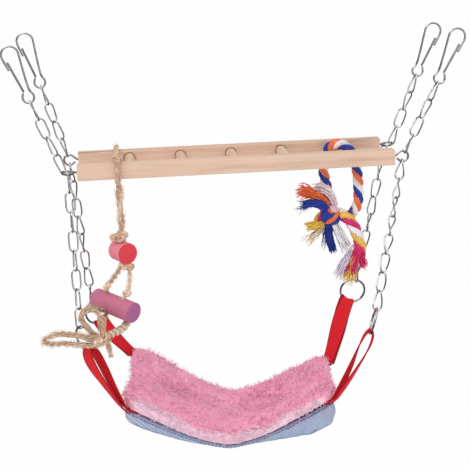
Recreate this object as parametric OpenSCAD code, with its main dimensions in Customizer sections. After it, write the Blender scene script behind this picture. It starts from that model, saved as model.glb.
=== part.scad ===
// Ladder perch and padded hammock hung on chains, for a cage bird.
// Front is -Y and up is +Z. The origin is the middle of the four snap hooks, at the
// height where their top bends sit on the cage wire.

/* [Ladder] */
// Length of each side rail
rail_l = 220; // [190:5:280]
// Width and height of a rail
rail_w = 10.5; // [9.5:0.5:13]
// Distance between the centres of the two rails
rail_gap = 50; // [40:1:70]
// Chamfer along each long edge of a rail
rail_chamfer = 0.6; // [0.2:0.1:1.5]
// Diameter of a rung
rung_d = 7.5; // [5:0.5:7.5]
// Depth that a rung enters each rail
rung_seat = 5; // [3:0.5:7]

/* [Screw eyes] */
// Wire diameter of a screw eye
eye_wire = 1.6; // [1.2:0.1:1.8]
// Outside diameter of the eye
eye_d = 9.2; // [9:0.2:11]
// Distance from the rail end to the middle of the eye
eye_reach = 6.5; // [6:0.5:10]
// Depth that the shank enters the rail
eye_depth = 12; // [8:1:18]

/* [Chains] */
// Wire diameter of a chain link
link_wire = 1.3; // [1:0.1:1.5]
// Outside length of a chain link
link_l = 16.2; // [14:0.2:18]
// Outside width of a chain link
link_w = 7.4; // [7:0.2:8.4]
// Play between two wires that touch
link_play = 0.25; // [0.2:0.05:0.4]
// Mean outward lean of the upper chains and snap hooks in degrees
upper_lean_angle = 23; // [15:1:26]
// Inward lean of the left lower chains in degrees
left_lean_angle = 3.2; // [2:0.2:8]
// Inward lean of the right lower chains in degrees
right_lean_angle = 12; // [6:0.5:16]
// Distance from the ladder's middle to the front rings' upper ends
ring_front = 42; // [34:1:46]
// Distance from the ladder's middle to the back rings' upper ends
ring_back = 29; // [28:1:40]

/* [Snap hooks] */
// Wire diameter of a snap hook
hook_wire = 1.5; // [1.2:0.1:1.8]
// Overall length of a snap hook
hook_l = 41.5; // [38:0.5:50]
// Outside diameter of the lower loop
hook_loop_d = 9.3; // [8.6:0.1:11]
// Outside diameter of the top bend
hook_bend_d = 13; // [12:0.5:15]
// Distance between the wires at the neck, middle to middle
hook_neck = 3.4; // [3:0.2:4]
// Slope of the spring arm away from the hook's axis in degrees
gate_slope = 8.5; // [7:0.5:10]

/* [Rings] */
// Outside diameter of a ring
ring_d = 20; // [18:0.5:26]
// Wire diameter of a ring
ring_wire = 1.5; // [1.2:0.1:2]
// Inward lean of a ring in degrees
ring_lean = 18; // [8:1:24]
// Lean of a ring away from the middle, front and back, in degrees
ring_spread = 9; // [2:1:14]

/* [Webbing] */
// Width of the webbing
web_w = 11.5; // [8:0.5:13]
// Thickness of the webbing
web_t = 1.1; // [0.8:0.1:1.5]

/* [Hammock] */
// Length of the hammock between its left and right edges
bed_l = 152.5; // [120:0.5:158]
// Width of the hammock between its front and back edges
bed_w = 100; // [80:1:110]
// Height of the ladder's middle over the hammock's corners
bed_drop = 165; // [155:1:190]
// Sag of the front edge below its corners
front_sag = 33; // [12:0.5:38]
// Sag of the back edge below its corners
back_sag = 38; // [12:0.5:42]
// Turn of the hammock seen from above in degrees
bed_turn = -6.5; // [-10:0.5:4]
// Shift of the hammock's middle along the ladder
bed_shift = -8; // [-10:0.5:8]
// Thickness of the plush pad in its middle
plush_t = 9; // [6:0.5:12]
// Thickness of the woven base at its thinnest
base_t = 3.5; // [2:0.5:6]
// Depth that the loose base hangs below the pad at the right end
base_bag = 16; // [2:1:18]

/* [Hanging toys] */
// Diameter of the two dowel beads
bead_d = 14.6; // [12:0.2:16]
// Length of the red bead
red_l = 15; // [12:0.5:18]
// Length of the purple bead
purple_l = 36; // [32:1:38]
// Diameter of a single strand of twine
twine_d = 2.6; // [2:0.1:3]
// Width of two strands of twine twisted together
twine_pair_d = 5.6; // [3.4:0.1:6]
// Diameter of the cotton rope
rope_d = 7.4; // [6:0.2:8]

/* [Hidden] */
$fn = 48;

// Left and front are -1, right and rear are 1
left = -1;
right = 1;
front = -1;
rear = 1;

// Small clearances, and one overrun for all cuts
soft_gap = 0.3;
swing_play = 0.38;
open_play = 0.2;
rung_fit = 0.05;
shank_fit = 0.03;
bore_end_gap = 0.2;
cut_over = 1;

// Chain links
upper_links = 4;
lower_links = 8;
link_r = link_wire / 2;
link_mid_l = link_l - link_wire;
link_mid_r = (link_w - link_wire) / 2;
link_pitch = link_mid_l - link_wire - link_play;
link_sides = 6;
link_arc_steps = 4;
link_run_steps = 3;

// Screw eyes
eye_r = eye_wire / 2;
eye_mid_r = eye_d / 2 - eye_r;
eye_x = rail_l / 2 + eye_reach;

// Snap hook in its own plane: u runs outward and v runs up from the loop's lowest wire
hook_r = hook_wire / 2;
loop_r = hook_loop_d / 2 - hook_r;
bend_r = hook_bend_d / 2 - hook_r;
loop_end_angle = 30;
catch_gap = 0.2;
gate_gap = 0.2;
tip_share = 0.22;
gate_share = 0.52;
neck_u = hook_neck / 2;
loop_end_u = loop_r * cos(loop_end_angle);
loop_end_v = loop_r + loop_r * sin(loop_end_angle);
neck_v = loop_end_v + (loop_end_u - neck_u) / tan(loop_end_angle);
bend_v = hook_l - hook_wire - bend_r;
catch_offset = hook_wire + catch_gap;
bend_u = neck_u - (bend_r - catch_offset - (bend_v - neck_v) * sin(gate_slope)) / cos(gate_slope);
neck_to_bend = norm([bend_u + neck_u, bend_v - neck_v]);
spine_slope = asin(bend_r / neck_to_bend) - atan2(bend_u + neck_u, bend_v - neck_v);
tip_l = hook_l * tip_share;
gate_l = hook_l * gate_share;
hook_skew = atan2(bend_u, bend_v + bend_r);

// Reach of each chain between the wires that it joins
hook_to_link = hook_r + link_r + link_play;
eye_to_link = eye_r + link_r + link_play;
ring_r = ring_wire / 2;
ring_mid_r = ring_d / 2 - ring_r;
low_eye_to_link = eye_r + link_r + swing_play;
ring_to_link = ring_r + link_r + swing_play;
upper_reach = link_mid_l + (upper_links - 1) * link_pitch - hook_to_link - eye_to_link;
front_reach = link_mid_l + (lower_links - 1) * link_pitch - low_eye_to_link - ring_to_link;
rear_reach = front_reach - open_play;

function unit(v) = v / norm(v);
function mix(a, b, t) = a + (b - a) * t;
function step_up(t) = t <= 0 ? 0 : t >= 1 ? 1 : t * t * (3 - 2 * t);

// Tables in the order front left, front right, rear left, rear right
more_upper_angle = [-1.4, 3, -5.9, -2];
more_hook_angle = [-2.5, -3, -1.5, 0];
more_lower_angle = [-2, 0, 2, 0];
eye_angle = [-60, 0, 0, -60];
ring_angle = [-50, 80, 30, 0];
upper_twist_angle = [-25, -25, -25, -25];
lower_twist_angle = [-10, -68, -30, -30];
strap_angle = [0, 0, 0, 12];
function corner_index(side, row) = (row > 0 ? 2 : 0) + (side > 0 ? 1 : 0);

// Wire centres where the chains meet their neighbours, in the ladder's frame
function lean_at(side, row) = upper_lean_angle + more_upper_angle[corner_index(side, row)];
function eye_up(side, row) =
    let(q = eye_angle[corner_index(side, row)]) [0, sin(q), cos(q)];
function in_eye(side, row, v) = let(k = eye_up(side, row)) unit([v.x, (v * k) * k.y, (v * k) * k.z]);
function eye_mid(side, row) = [side * eye_x, row * rail_gap / 2, 0];
function upper_way(side, row) = let(q = lean_at(side, row)) [side * sin(q), 0, cos(q)];
function eye_top(side, row) =
    eye_mid(side, row) + eye_mid_r * in_eye(side, row, upper_way(side, row));
function hook_low(side, row) = eye_top(side, row) + upper_reach * upper_way(side, row);
function side_lean(side, row) =
    (side < 0 ? left_lean_angle : right_lean_angle) + more_lower_angle[corner_index(side, row)];
function ring_y(row) = row < 0 ? -ring_front : ring_back;
function lower_reach(row) = row < 0 ? front_reach : rear_reach;
function rough_way(side, row) =
    let(dx = -side * sin(side_lean(side, row)),
        dy = (ring_y(row) - row * rail_gap / 2) / lower_reach(row))
    [dx, dy, -sqrt(1 - dx * dx - dy * dy)];
function eye_low(side, row) =
    eye_mid(side, row) + eye_mid_r * in_eye(side, row, rough_way(side, row));
function ring_top(side, row) =
    let(e = eye_low(side, row), x = e.x - side * lower_reach(row) * sin(side_lean(side, row)),
        y = ring_y(row), flat = norm([x - e.x, y - e.y]))
    [x, y, e.z - sqrt(pow(lower_reach(row), 2) - flat * flat)];
function hook_turn(side, row) =
    lean_at(side, row) - hook_skew + more_hook_angle[corner_index(side, row)];
function crown_z(side, row) =
    let(q = hook_turn(side, row))
    hook_low(side, row).z + bend_v * cos(q) - bend_u * sin(q) + bend_r - hook_r;

// Mean height of the hang level over the middle of the ladder
ladder_drop = (crown_z(left, front) + crown_z(right, front) + crown_z(left, rear)
    + crown_z(right, rear)) / 4;

function ring_way(side, row) = unit([-side * tan(ring_lean), row * tan(ring_spread), -1]);
function ring_along(side, row) =
    let(w = ring_way(side, row), f = ring_angle[corner_index(side, row)],
        h = [cos(f), sin(f), 0])
    unit(h - (h * w) * w);
function ring_mid(side, row) = ring_top(side, row) + ring_mid_r * ring_way(side, row);

// Hammock surface: height of the seam between pad and base over the hammock's own plan
corner_lift_shares = [-0.08, 0.01, 0.07, -0.3];
sag_power = 1.43;
corner_droop_share = 0.19;
side_draw_share = 0.03;
corner_round_share = 0.03;
edge_plush_share = 0.78;
bag_start_share = 0.1;
pocket_gap = web_t + soft_gap;
function corner_z(i) = -bed_drop + corner_lift_shares[i] * front_sag;
function seam_z(p) =
    let(a = p.x / (bed_l / 2), b = p.y / (bed_w / 2), s = (a + 1) / 2, t = (b + 1) / 2,
        rim = mix(mix(corner_z(0), corner_z(1), s), mix(corner_z(2), corner_z(3), s), t),
        droop = corner_droop_share * back_sag * t * (1 - pow(abs(a), 8)))
    rim + droop - mix(front_sag, back_sag, t) * (1 - pow(abs(a), sag_power));
function bed_plan(a, b) =
    let(f = 1 - corner_round_share * pow(a * b, 6))
    [a * f * bed_l / 2 * (1 - side_draw_share * (1 - b * b)),
     b * f * bed_w / 2 * (1 - side_draw_share * (1 - a * a))];
function to_ladder(p) =
    [bed_shift + p.x * cos(bed_turn) - p.y * sin(bed_turn),
     p.x * sin(bed_turn) + p.y * cos(bed_turn), p.z];
function edge_fall(a, b) = pow(max(abs(a), abs(b)), 4);
function pocket(a, b) = pocket_gap * step_up((abs(a * b) - 0.4) / 0.16);
function plush_low(a, b, p) = seam_z(p) + soft_gap + pocket(a, b);
function plush_high(a, b, p) =
    plush_low(a, b, p) + plush_t * mix(1, edge_plush_share, edge_fall(a, b));
function base_low(a, b, p) =
    let(bag = step_up((a - bag_start_share) / (1 - bag_start_share)) * (0.75 - 0.25 * b))
    seam_z(p) - base_t * (1 + step_up(-a) - 0.35 * edge_fall(a, b)) - base_bag * bag;

// Closed mesh from a list of sections that all have the same number of points
function ring_faces(rings, n, closed) =
    [for (i = [0 : (closed ? rings - 1 : rings - 2)]) let(j = (i + 1) % rings)
        for (k = [0 : n - 1]) let(m = (k + 1) % n)
            for (f = [[i * n + k, i * n + m, j * n + m], [i * n + k, j * n + m, j * n + k]]) f];
function cap_faces(rings, n) =
    [for (k = [1 : n - 2]) for (f = [[0, k + 1, k],
        [(rings - 1) * n, (rings - 1) * n + k, (rings - 1) * n + k + 1]]) f];
module skin(sections, closed = false) {
    n = len(sections[0]);
    polyhedron(
        points = [for (s = sections) for (p = s) p],
        faces = closed ? ring_faces(len(sections), n, true)
            : concat(ring_faces(len(sections), n, false), cap_faces(len(sections), n)),
        convexity = 10
    );
}

// Tube through points, each with its own radius, kept upright by a steady side vector
function way_at(pts, i, closed) =
    let(n = len(pts), a = closed ? (i + n - 1) % n : max(i - 1, 0),
        b = closed ? (i + 1) % n : min(i + 1, n - 1))
    unit(pts[b] - pts[a]);
function tube_ring(p, way, side, r, sides) =
    let(s = unit(side - (side * way) * way), c = cross(s, way))
    [for (k = [0 : sides - 1]) let(q = 360 * k / sides) p + r * (cos(q) * s + sin(q) * c)];
module tube(pts, radii, sides, side_at, closed = false) {
    skin([for (i = [0 : len(pts) - 1])
        tube_ring(pts[i], way_at(pts, i, closed), side_at[i], radii[i], sides)], closed);
}

function same(value, count) = [for (i = [1 : count]) value];
module cord(route, d, side, sides = 8) {
    tube(route, same(d / 2, len(route)), sides, same(side, len(route)));
}

// Round wire pieces in the XZ plane
module rod(a, b, r) {
    way = b - a;
    translate(a) rotate([0, acos(way.z / norm(way)), atan2(way.y, way.x)])
        cylinder(h = norm(way), r = r);
}
function arc(mid_u, mid_v, radius, start, sweep, steps) =
    [for (k = [0 : steps]) let(q = start + sweep * k / steps)
        [mid_u + radius * cos(q), 0, mid_v + radius * sin(q)]];
module ball(u, v, r) {
    translate([u, 0, v]) sphere(r = r);
}

module hung() {
    translate([0, 0, -ladder_drop]) children();
}
module at_hook(side, row) {
    low = hook_low(side, row);
    hung() translate(low) mirror([side < 0 ? 1 : 0, 0, 0])
        rotate([0, hook_turn(side, row), 0]) children();
}

loop_steps = 12;
bend_steps = 12;
end_ring_shares = [0.55, 0.87, 1];
module snap_hook(side, row) {
    tip = [bend_u + bend_r * cos(gate_slope), 0, bend_v - bend_r * sin(gate_slope)];
    tip_way = [-sin(gate_slope), 0, -cos(gate_slope)];
    root_run = norm([loop_end_u - neck_u, neck_v - loop_end_v]) - hook_r - gate_gap;
    root_end = [loop_end_u - root_run * sin(loop_end_angle), 0,
        loop_end_v + root_run * cos(loop_end_angle)];
    rounding = [for (k = [2, 1, 0]) tip + tip_way
        * (tip_l - hook_r * (1 - sqrt(1 - pow(end_ring_shares[k], 2))))];
    pts = concat([root_end],
        arc(0, loop_r, loop_r, loop_end_angle, -180 - 2 * loop_end_angle, loop_steps),
        [[-neck_u, 0, neck_v]],
        arc(bend_u, bend_v, bend_r, 180 + spine_slope, -180 - spine_slope - gate_slope,
            bend_steps),
        rounding);
    n = len(pts);
    radii = [for (i = [0 : n - 1]) hook_r * (i < n - 2 ? 1 : end_ring_shares[n - 1 - i])];
    color("silver") at_hook(side, row) tube(pts, radii, 8, same([0, 1, 0], n));
}

module snap_gate(side, row) {
    end_u = neck_u + gate_l * sin(gate_slope);
    end_v = neck_v + gate_l * cos(gate_slope);
    color("gray") at_hook(side, row) {
        ball(neck_u, neck_v, hook_r);
        rod([neck_u, 0, neck_v], [end_u, 0, end_v], hook_r);
    }
}

// One twisted link about its own long axis, its start end turned to the given angle
function link_flat() =
    let(h = link_mid_l / 2 - link_mid_r)
    concat(
        [for (k = [0 : link_arc_steps]) let(q = 180 * k / link_arc_steps)
            [link_mid_r * cos(q), h + link_mid_r * sin(q), q]],
        [for (k = [1 : link_run_steps - 1]) [-link_mid_r, h - 2 * h * k / link_run_steps, 180]],
        [for (k = [0 : link_arc_steps]) let(q = 180 + 180 * k / link_arc_steps)
            [link_mid_r * cos(q), -h + link_mid_r * sin(q), q]],
        [for (k = [1 : link_run_steps - 1]) [link_mid_r, -h + 2 * h * k / link_run_steps, 0]]
    );
module twisted_link(start_turn, twist) {
    h = link_mid_l / 2 - link_mid_r;
    flat = link_flat();
    turns = [for (p = flat) start_turn + twist * (1 - (min(max(p.y, -h), h) + h) / (2 * h))];
    pts = [for (i = [0 : len(flat) - 1])
        [flat[i].x * cos(turns[i]), flat[i].x * sin(turns[i]), -flat[i].y]];
    sides = [for (i = [0 : len(flat) - 1])
        [cos(flat[i].z) * cos(turns[i]), cos(flat[i].z) * sin(turns[i]), -sin(flat[i].z)]];
    tube(pts, same(link_r, len(pts)), link_sides, sides, closed = true);
}

// A taut chain from one wire to another. Each link end is square to the next one
module chain(from, to, from_off, count, from_wire, to_wire, wanted) {
    way = unit(to - from);
    first = unit(cross(way, from_wire));
    second = cross(way, first);
    last = unit(cross(way, to_wire));
    end_turn = atan2(last * second, last * first);
    spare = end_turn - 90 * (count - 1);
    twist = (spare + 180 * round((wanted * count - spare) / 180)) / count;
    for (i = [0 : count - 1]) {
        middle = from + way * (link_mid_l / 2 - from_off + i * link_pitch);
        hung() multmatrix([
            [first.x, second.x, way.x, middle.x],
            [first.y, second.y, way.y, middle.y],
            [first.z, second.z, way.z, middle.z],
            [0, 0, 0, 1]
        ]) twisted_link(i * (twist + 90), twist);
    }
}
function eye_tangent(side, row, p) =
    cross(cross([1, 0, 0], eye_up(side, row)), unit(p - eye_mid(side, row)));
module upper_chain(side, row) {
    color("lightgray") chain(hook_low(side, row), eye_top(side, row), hook_to_link,
        upper_links, cross([0, 1, 0], upper_way(side, row)),
        eye_tangent(side, row, eye_top(side, row)), upper_twist_angle[corner_index(side, row)]);
}
module lower_chain(side, row) {
    color("lightgray") chain(eye_low(side, row), ring_top(side, row), low_eye_to_link,
        lower_links, eye_tangent(side, row, eye_low(side, row)), ring_along(side, row),
        lower_twist_angle[corner_index(side, row)]);
}

// Screw eye in its own plane: a along the shank away from the rail and b across it
neck_share = 0.14;
eye_arc_steps = 14;
module screw_eye(side, row) {
    neck_a = eye_reach * neck_share;
    open_q = acos(eye_mid_r / (eye_reach - neck_a));
    tangent_a = eye_reach - eye_mid_r * cos(open_q);
    tangent_b = eye_mid_r * sin(open_q);
    back_way = unit([tangent_a - neck_a, -tangent_b]);
    stop = (eye_wire + shank_fit * 3) * back_way;
    flat = concat([[-eye_depth, 0], [neck_a - eye_r, 0], [neck_a + eye_r / 2, eye_r / 2]],
        [for (k = [0 : eye_arc_steps])
            let(q = (180 - open_q) * (1 - 2 * k / eye_arc_steps))
            [eye_reach + eye_mid_r * cos(q), eye_mid_r * sin(q)]],
        [[neck_a + stop.x, stop.y]]);
    up = eye_up(side, row);
    start = [side * rail_l / 2, row * rail_gap / 2, 0];
    pts = [for (p = flat) start + side * p.x * [1, 0, 0] + p.y * up];
    color("silver") hung() tube(pts, same(eye_r, len(pts)), 8,
        same(cross([1, 0, 0], up), len(pts)));
}

module rail(row) {
    c = rail_chamfer;
    w = rail_w / 2;
    inner = -row * w;
    color("burlywood") hung() translate([0, row * rail_gap / 2, 0]) difference() {
        rotate([90, 0, 90]) linear_extrude(rail_l, center = true)
            polygon([[-w + c, -w], [w - c, -w], [w, -w + c], [w, w - c],
                [w - c, w], [-w + c, w], [-w, w - c], [-w, -w + c]]);
        for (i = [-2 : 2])
            translate([rung_x(i), inner - row * cut_over, 0]) rotate([-row * 90, 0, 0])
                cylinder(h = rung_seat + bore_end_gap + cut_over, r = rung_d / 2 + rung_fit);
        for (side = [left, right])
            translate([side * (rail_l / 2 + cut_over), 0, 0]) rotate([0, -side * 90, 0])
                cylinder(h = eye_depth + bore_end_gap + cut_over, r = eye_r + shank_fit);
    }
}
function rung_x(i) = i * rail_l / 6;
module rung(i) {
    rung_l = rail_gap - rail_w + 2 * rung_seat;
    color("wheat") hung() translate([rung_x(i), rung_l / 2, 0]) rotate([90, 0, 0])
        cylinder(h = rung_l, r = rung_d / 2);
}

module split_ring(side, row) {
    w = ring_way(side, row);
    t = ring_along(side, row);
    n = cross(t, w);
    c = ring_mid(side, row);
    color("silver") hung() multmatrix([
        [t.x, w.x, n.x, c.x], [t.y, w.y, n.y, c.y], [t.z, w.z, n.z, c.z], [0, 0, 0, 1]
    ]) rotate_extrude() translate([ring_mid_r, 0]) circle(r = ring_r);
}

// Webbing loop: up from its pocket in the hammock, round the ring's lowest wire and down
web_columns = 4;
web_leg_steps = 8;
web_bend_steps = 6;
web_pull = 18;
web_bow = [1.6, 2.6, 0.5, 0.5];
web_bow_share = 0.6;
web_end_pull = 14;
web_part = 0.15;
web_tail = 13;
web_turn_shares = [-0.35, 0.35, -0.1, 0.1];
web_gap = ring_r + soft_gap + web_t / 2;
function hermite(a, b, at, bt, t) =
    (1 + 2 * t) * pow(1 - t, 2) * a + t * pow(1 - t, 2) * at
    + t * t * (3 - 2 * t) * b + t * t * (t - 1) * bt;
function bed_dir(v) = to_ladder([v.x, v.y, 0]) - to_ladder([0, 0, 0]);
module strap(side, row) {
    index = corner_index(side, row);
    w0 = ring_way(side, row);
    t0 = ring_along(side, row);
    inward = to_ladder([0, 0, 0]) - ring_mid(side, row);
    facing = cross(t0, w0) * [inward.x, inward.y, 0] > 0 ? 1 : -1;
    swing = strap_angle[index] * (t0 * inward > 0 ? 1 : -1);
    w = cos(swing) * w0 + sin(swing) * t0;
    t = facing * (cos(swing) * t0 - sin(swing) * w0);
    n = cross(t, w);
    mid = ring_mid(side, row);
    // The corner in the hammock's own plan, the way in from it, and the way across
    diag = unit([-side * bed_l, -row * bed_w]);
    turn = 90 * web_turn_shares[index];
    across_flat = [-diag.y * cos(turn) - diag.x * sin(turn),
        diag.x * cos(turn) - diag.y * sin(turn)];
    lie = bed_dir(across_flat) * t > 0 ? across_flat : -across_flat;
    corner = [side * bed_l / 2, row * bed_w / 2];
    // A point of the tail, s across and q into the hammock
    columns = [for (k = [0 : web_columns]) web_w * (k / web_columns - 0.5)];
    function wire(s) = let(f = s / ring_mid_r * 180 / PI)
        mid + ring_mid_r * (sin(f) * t + cos(f) * w);
    function down(s) = let(f = s / ring_mid_r * 180 / PI) sin(f) * t + cos(f) * w;
    function lay(s, q) = let(p = corner + s * lie + q * diag)
        to_ladder([p.x, p.y, seam_z(p) + soft_gap / 2 + web_t / 2 + soft_gap / 2]);
    function under(s) =
        let(c = unit(cross(lay(s + 1, 0) - lay(s, 0), lay(s, 2) - lay(s, 0))))
        c.z > 0 ? -c : c;
    half_end = (web_t + soft_gap) / 2 + web_part;
    function leg(s, g, q) =
        let(way_in = unit(lay(s, 2) - lay(s, 0)), end = lay(s, 0) + half_end * under(s),
            middle = hermite(wire(s), end, web_pull * down(s), web_end_pull * way_in, q),
            half = mix(web_gap, half_end, q) + web_bow[index] * sin(180 * pow(q, web_bow_share)))
        middle + g * half * unit(mix(n, -under(s), q));
    rows_tail = [for (q = [web_tail : -web_tail / 3 : web_tail / 6]) [for (s = columns) lay(s, q)]];
    rows_a = [for (k = [web_leg_steps : -1 : 1]) [for (s = columns) leg(s, 1, k / web_leg_steps)]];
    rows_bend = [for (k = [0 : web_bend_steps]) let(b = 180 * k / web_bend_steps)
        [for (s = columns) wire(s) + web_gap * (cos(b) * n - sin(b) * down(s))]];
    rows_b = [for (k = [1 : web_leg_steps - 1])
        [for (s = columns) leg(s, -1, k / web_leg_steps)]];
    rows_all = concat(rows_tail, rows_a, rows_bend, rows_b);
    last = len(rows_all) - 1;
    function out_at(i, k) =
        let(a = rows_all[max(i - 1, 0)][k], b = rows_all[min(i + 1, last)][k],
            c = rows_all[i][max(k - 1, 0)], d = rows_all[i][min(k + 1, web_columns)])
        unit(cross(b - a, d - c));
    color("crimson") hung() skin([for (i = [0 : last]) concat(
        [for (k = [0 : web_columns]) rows_all[i][k] + web_t / 2 * out_at(i, k)],
        [for (k = [web_columns : -1 : 0]) rows_all[i][k] - web_t / 2 * out_at(i, k)])]);
}

// A closed sheet between two height functions over the hammock's plan
bed_cols = 18;
bed_rows = 12;
module bed_solid(pad) {
    n = bed_cols + 1;
    m = bed_rows + 1;
    function plan(i, j) = bed_plan(2 * i / bed_cols - 1, 2 * j / bed_rows - 1);
    function point(i, j, top) =
        let(a = 2 * i / bed_cols - 1, b = 2 * j / bed_rows - 1, p = plan(i, j))
        to_ladder([p.x, p.y, pad ? (top ? plush_high(a, b, p) : plush_low(a, b, p))
            : (top ? seam_z(p) : base_low(a, b, p))]);
    pts = [for (top = [false, true]) for (j = [0 : bed_rows]) for (i = [0 : bed_cols])
        point(i, j, top)];
    function at(i, j, top) = (top ? n * m : 0) + j * n + i;
    function quad(a, b, c, d) = [[a, b, c], [a, c, d]];
    faces = [for (q = concat(
        [for (j = [0 : bed_rows - 1]) for (i = [0 : bed_cols - 1]) for (top = [false, true])
            let(a = at(i, j, top), b = at(i + 1, j, top), c = at(i + 1, j + 1, top),
                d = at(i, j + 1, top)) top ? quad(a, d, c, b) : quad(a, b, c, d)],
        [for (i = [0 : bed_cols - 1]) for (end = [0, bed_rows])
            let(a = at(i, end, false), b = at(i + 1, end, false), c = at(i + 1, end, true),
                d = at(i, end, true)) end == 0 ? quad(a, d, c, b) : quad(a, b, c, d)],
        [for (j = [0 : bed_rows - 1]) for (end = [0, bed_cols])
            let(a = at(end, j, false), b = at(end, j + 1, false), c = at(end, j + 1, true),
                d = at(end, j, true)) end == 0 ? quad(a, b, c, d) : quad(a, d, c, b)]
        )) for (f = q) f];
    hung() polyhedron(points = pts, faces = faces, convexity = 10);
}
module plush_pad() {
    color("pink") bed_solid(true);
}
module woven_base() {
    color("lightsteelblue") bed_solid(false);
}

// Routes of the twine and ropes, set by hand about the middle of the ladder
twine_x = -82;
hanger_steps = 4;
drop_route = [[-82, -25, -8.8], [-82, -25, -20], [-82, -25, -34], [-82, -25, -43],
    [-82, -25, -45], [-82, -25, -47], [-82, -25, -49], [-82, -25, -58], [-82, -25, -66]];
drop_knot_shares = [1, 1, 1, 1, 1.5, 1.8, 1.1, 1, 1];
leg_left_route = [[-84, -25, -67], [-89, -22, -74], [-94, -20, -81], [-95, -20.5, -87],
    [-95, -20.5, -92]];
leg_right_route = [[-80, -25, -67], [-79, -29, -76], [-81, -32, -84], [-83.5, -32, -90],
    [-83.5, -32, -95]];
leg_knot_shares = [1, 1, 1.5, 1, 1];
tie_route = [[-83.5, -32, -100], [-83.5, -32, -106], [-86, -40, -111], [-91, -44, -111], [-96, -45, -111]];
bow_route = [[-95, -20.5, -98], [-95, -20.5, -104], [-98, -28, -108], [-100, -35, -108], [-101, -44, -110],
    [-104, -48, -105], [-111, -50, -99], [-113, -50, -94], [-110, -49, -90],
    [-104, -48, -91], [-99, -48, -96], [-97, -51, -104], [-101, -55, -110],
    [-110, -56, -110], [-121, -55, -106], [-130, -54, -105], [-137, -54, -107],
    [-141, -54, -110], [-137, -54, -113], [-128, -55, -115], [-117, -56, -116],
    [-107, -56, -116], [-99, -53, -116], [-95, -51, -120], [-94, -50, -127]];
rope_route = [[76, -3, -46], [81, -4, -46], [86, -6, -41], [88, -8, -33], [88, -8, -22],
    [87, -8, -11], [84, -8, -1], [80, -8, 5], [74, -8, 8], [68, -8, 6], [65, -8, 0],
    [63, -8, -8], [64, -8, -17], [66, -8, -26], [67, -8, -32], [67, -8, -36]];
short_route = [[77, -12, -43], [82, -12, -47], [87, -12, -54], [90, -10, -62],
    [90, -9, -69]];

module twine_hanger() {
    // Round the front rail, square with rounded corners
    flat = rail_w / 2 - rail_chamfer;
    reach = rail_w / 2 + soft_gap + twine_d / 2;
    turn_r = reach - flat;
    pts = [for (q = [0 : 3]) for (k = [0 : hanger_steps]) let(a = 90 * q + 90 * k / hanger_steps,
        cy = flat * (q == 0 || q == 3 ? 1 : -1), cz = flat * (q < 2 ? 1 : -1))
        [twine_x, -rail_gap / 2 + cy + turn_r * cos(a), cz + turn_r * sin(a)]];
    color("tan") hung() tube(pts, same(twine_d / 2, len(pts)), 8, same([1, 0, 0], len(pts)),
        closed = true);
}
module twine_drop() {
    color("tan") hung() tube(drop_route, twine_pair_d / 2 * drop_knot_shares, 8,
        same([1, 0, 0], len(drop_route)));
}
module twine_legs() {
    for (route = [leg_left_route, leg_right_route])
        color("tan") hung() tube(route, twine_d / 2 * leg_knot_shares, 8,
            same([0, 1, 0], len(route)));
}
module twine_bow() {
    color("tan") hung() {
        cord(tie_route, twine_d, [0.5, -0.6, 0.6]);
        cord(bow_route, twine_d, [0.2, 1, 0.3]);
    }
}

// Dowel beads, drilled across for the twine
red_mid = [-82, -25, -57.5];
red_way = [0.45, -0.89, 0];
purple_mid = [-89.5, -26, -96];
purple_way = [24.7, -25, -4.5];
purple_hole_shares = [-0.22, 0.24];
bead_bore_gap = 0.4;
module bead(mid, way, l) {
    hung() translate(mid) rotate([0, acos(way.z / norm(way)), atan2(way.y, way.x)])
        cylinder(h = l, r = bead_d / 2, center = true);
}
module red_bead() {
    color("tomato") difference() {
        bead(red_mid, red_way, red_l);
        hung() translate(red_mid)
            cylinder(h = bead_d + 2 * cut_over, r = twine_pair_d / 2 + bead_bore_gap, center = true);
    }
}
module purple_bead() {
    color("orchid") difference() {
        bead(purple_mid, purple_way, purple_l);
        for (share = purple_hole_shares)
            hung() translate(purple_mid + share * purple_l * unit(purple_way))
                cylinder(h = bead_d + 4 * cut_over, r = twine_d / 2 + bead_bore_gap, center = true);
    }
}

module cotton_rope() {
    color("orange") hung() cord(rope_route, rope_d, [0, 1, 0], 10);
}
module short_rope() {
    color("gold") hung() cord(short_route, rope_d, [0, 1, 0], 10);
}
knot_mid = [66.5, -8, -45.2];
knot_share = 2.3;
module rope_knot() {
    color("royalblue") hung() translate(knot_mid) sphere(r = knot_r);
}

// Frayed ends: each spreads from a neck beside its knot to a blunt brush. Neck and
// brush are shares of the rope's diameter
knot_r = rope_d * knot_share / 2;
side_end = [44, -10, -29];
side_share = [0.4, 1.05];
low_end = [72, -9, -71];
low_share = [0.4, 0.9];
yellow_end = [45, -9, -60];
yellow_share = [0.34, 0.8];
pink_end = [85, -9, -91];
pink_share = [0.45, 0.9];
pink_gap = 1.1;
module tassel(from, off, to, share, tint) {
    way = unit(to - from);
    color(tint) hung() translate(from + off * way)
        rotate([0, acos(way.z), atan2(way.y, way.x)])
            cylinder(h = norm(to - from) - off, r1 = rope_d * share[0], r2 = rope_d * share[1]);
}
module tassel_side() {
    tassel(knot_mid, knot_r + soft_gap, side_end, side_share, "coral");
}
module tassel_low() {
    tassel(knot_mid, knot_r + soft_gap, low_end, low_share, "mediumblue");
}
module tassel_yellow() {
    tassel(knot_mid, knot_r + soft_gap, yellow_end, yellow_share, "khaki");
}
module tassel_pink() {
    tassel(short_route[len(short_route) - 1], pink_gap, pink_end, pink_share, "deeppink");
}

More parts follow.
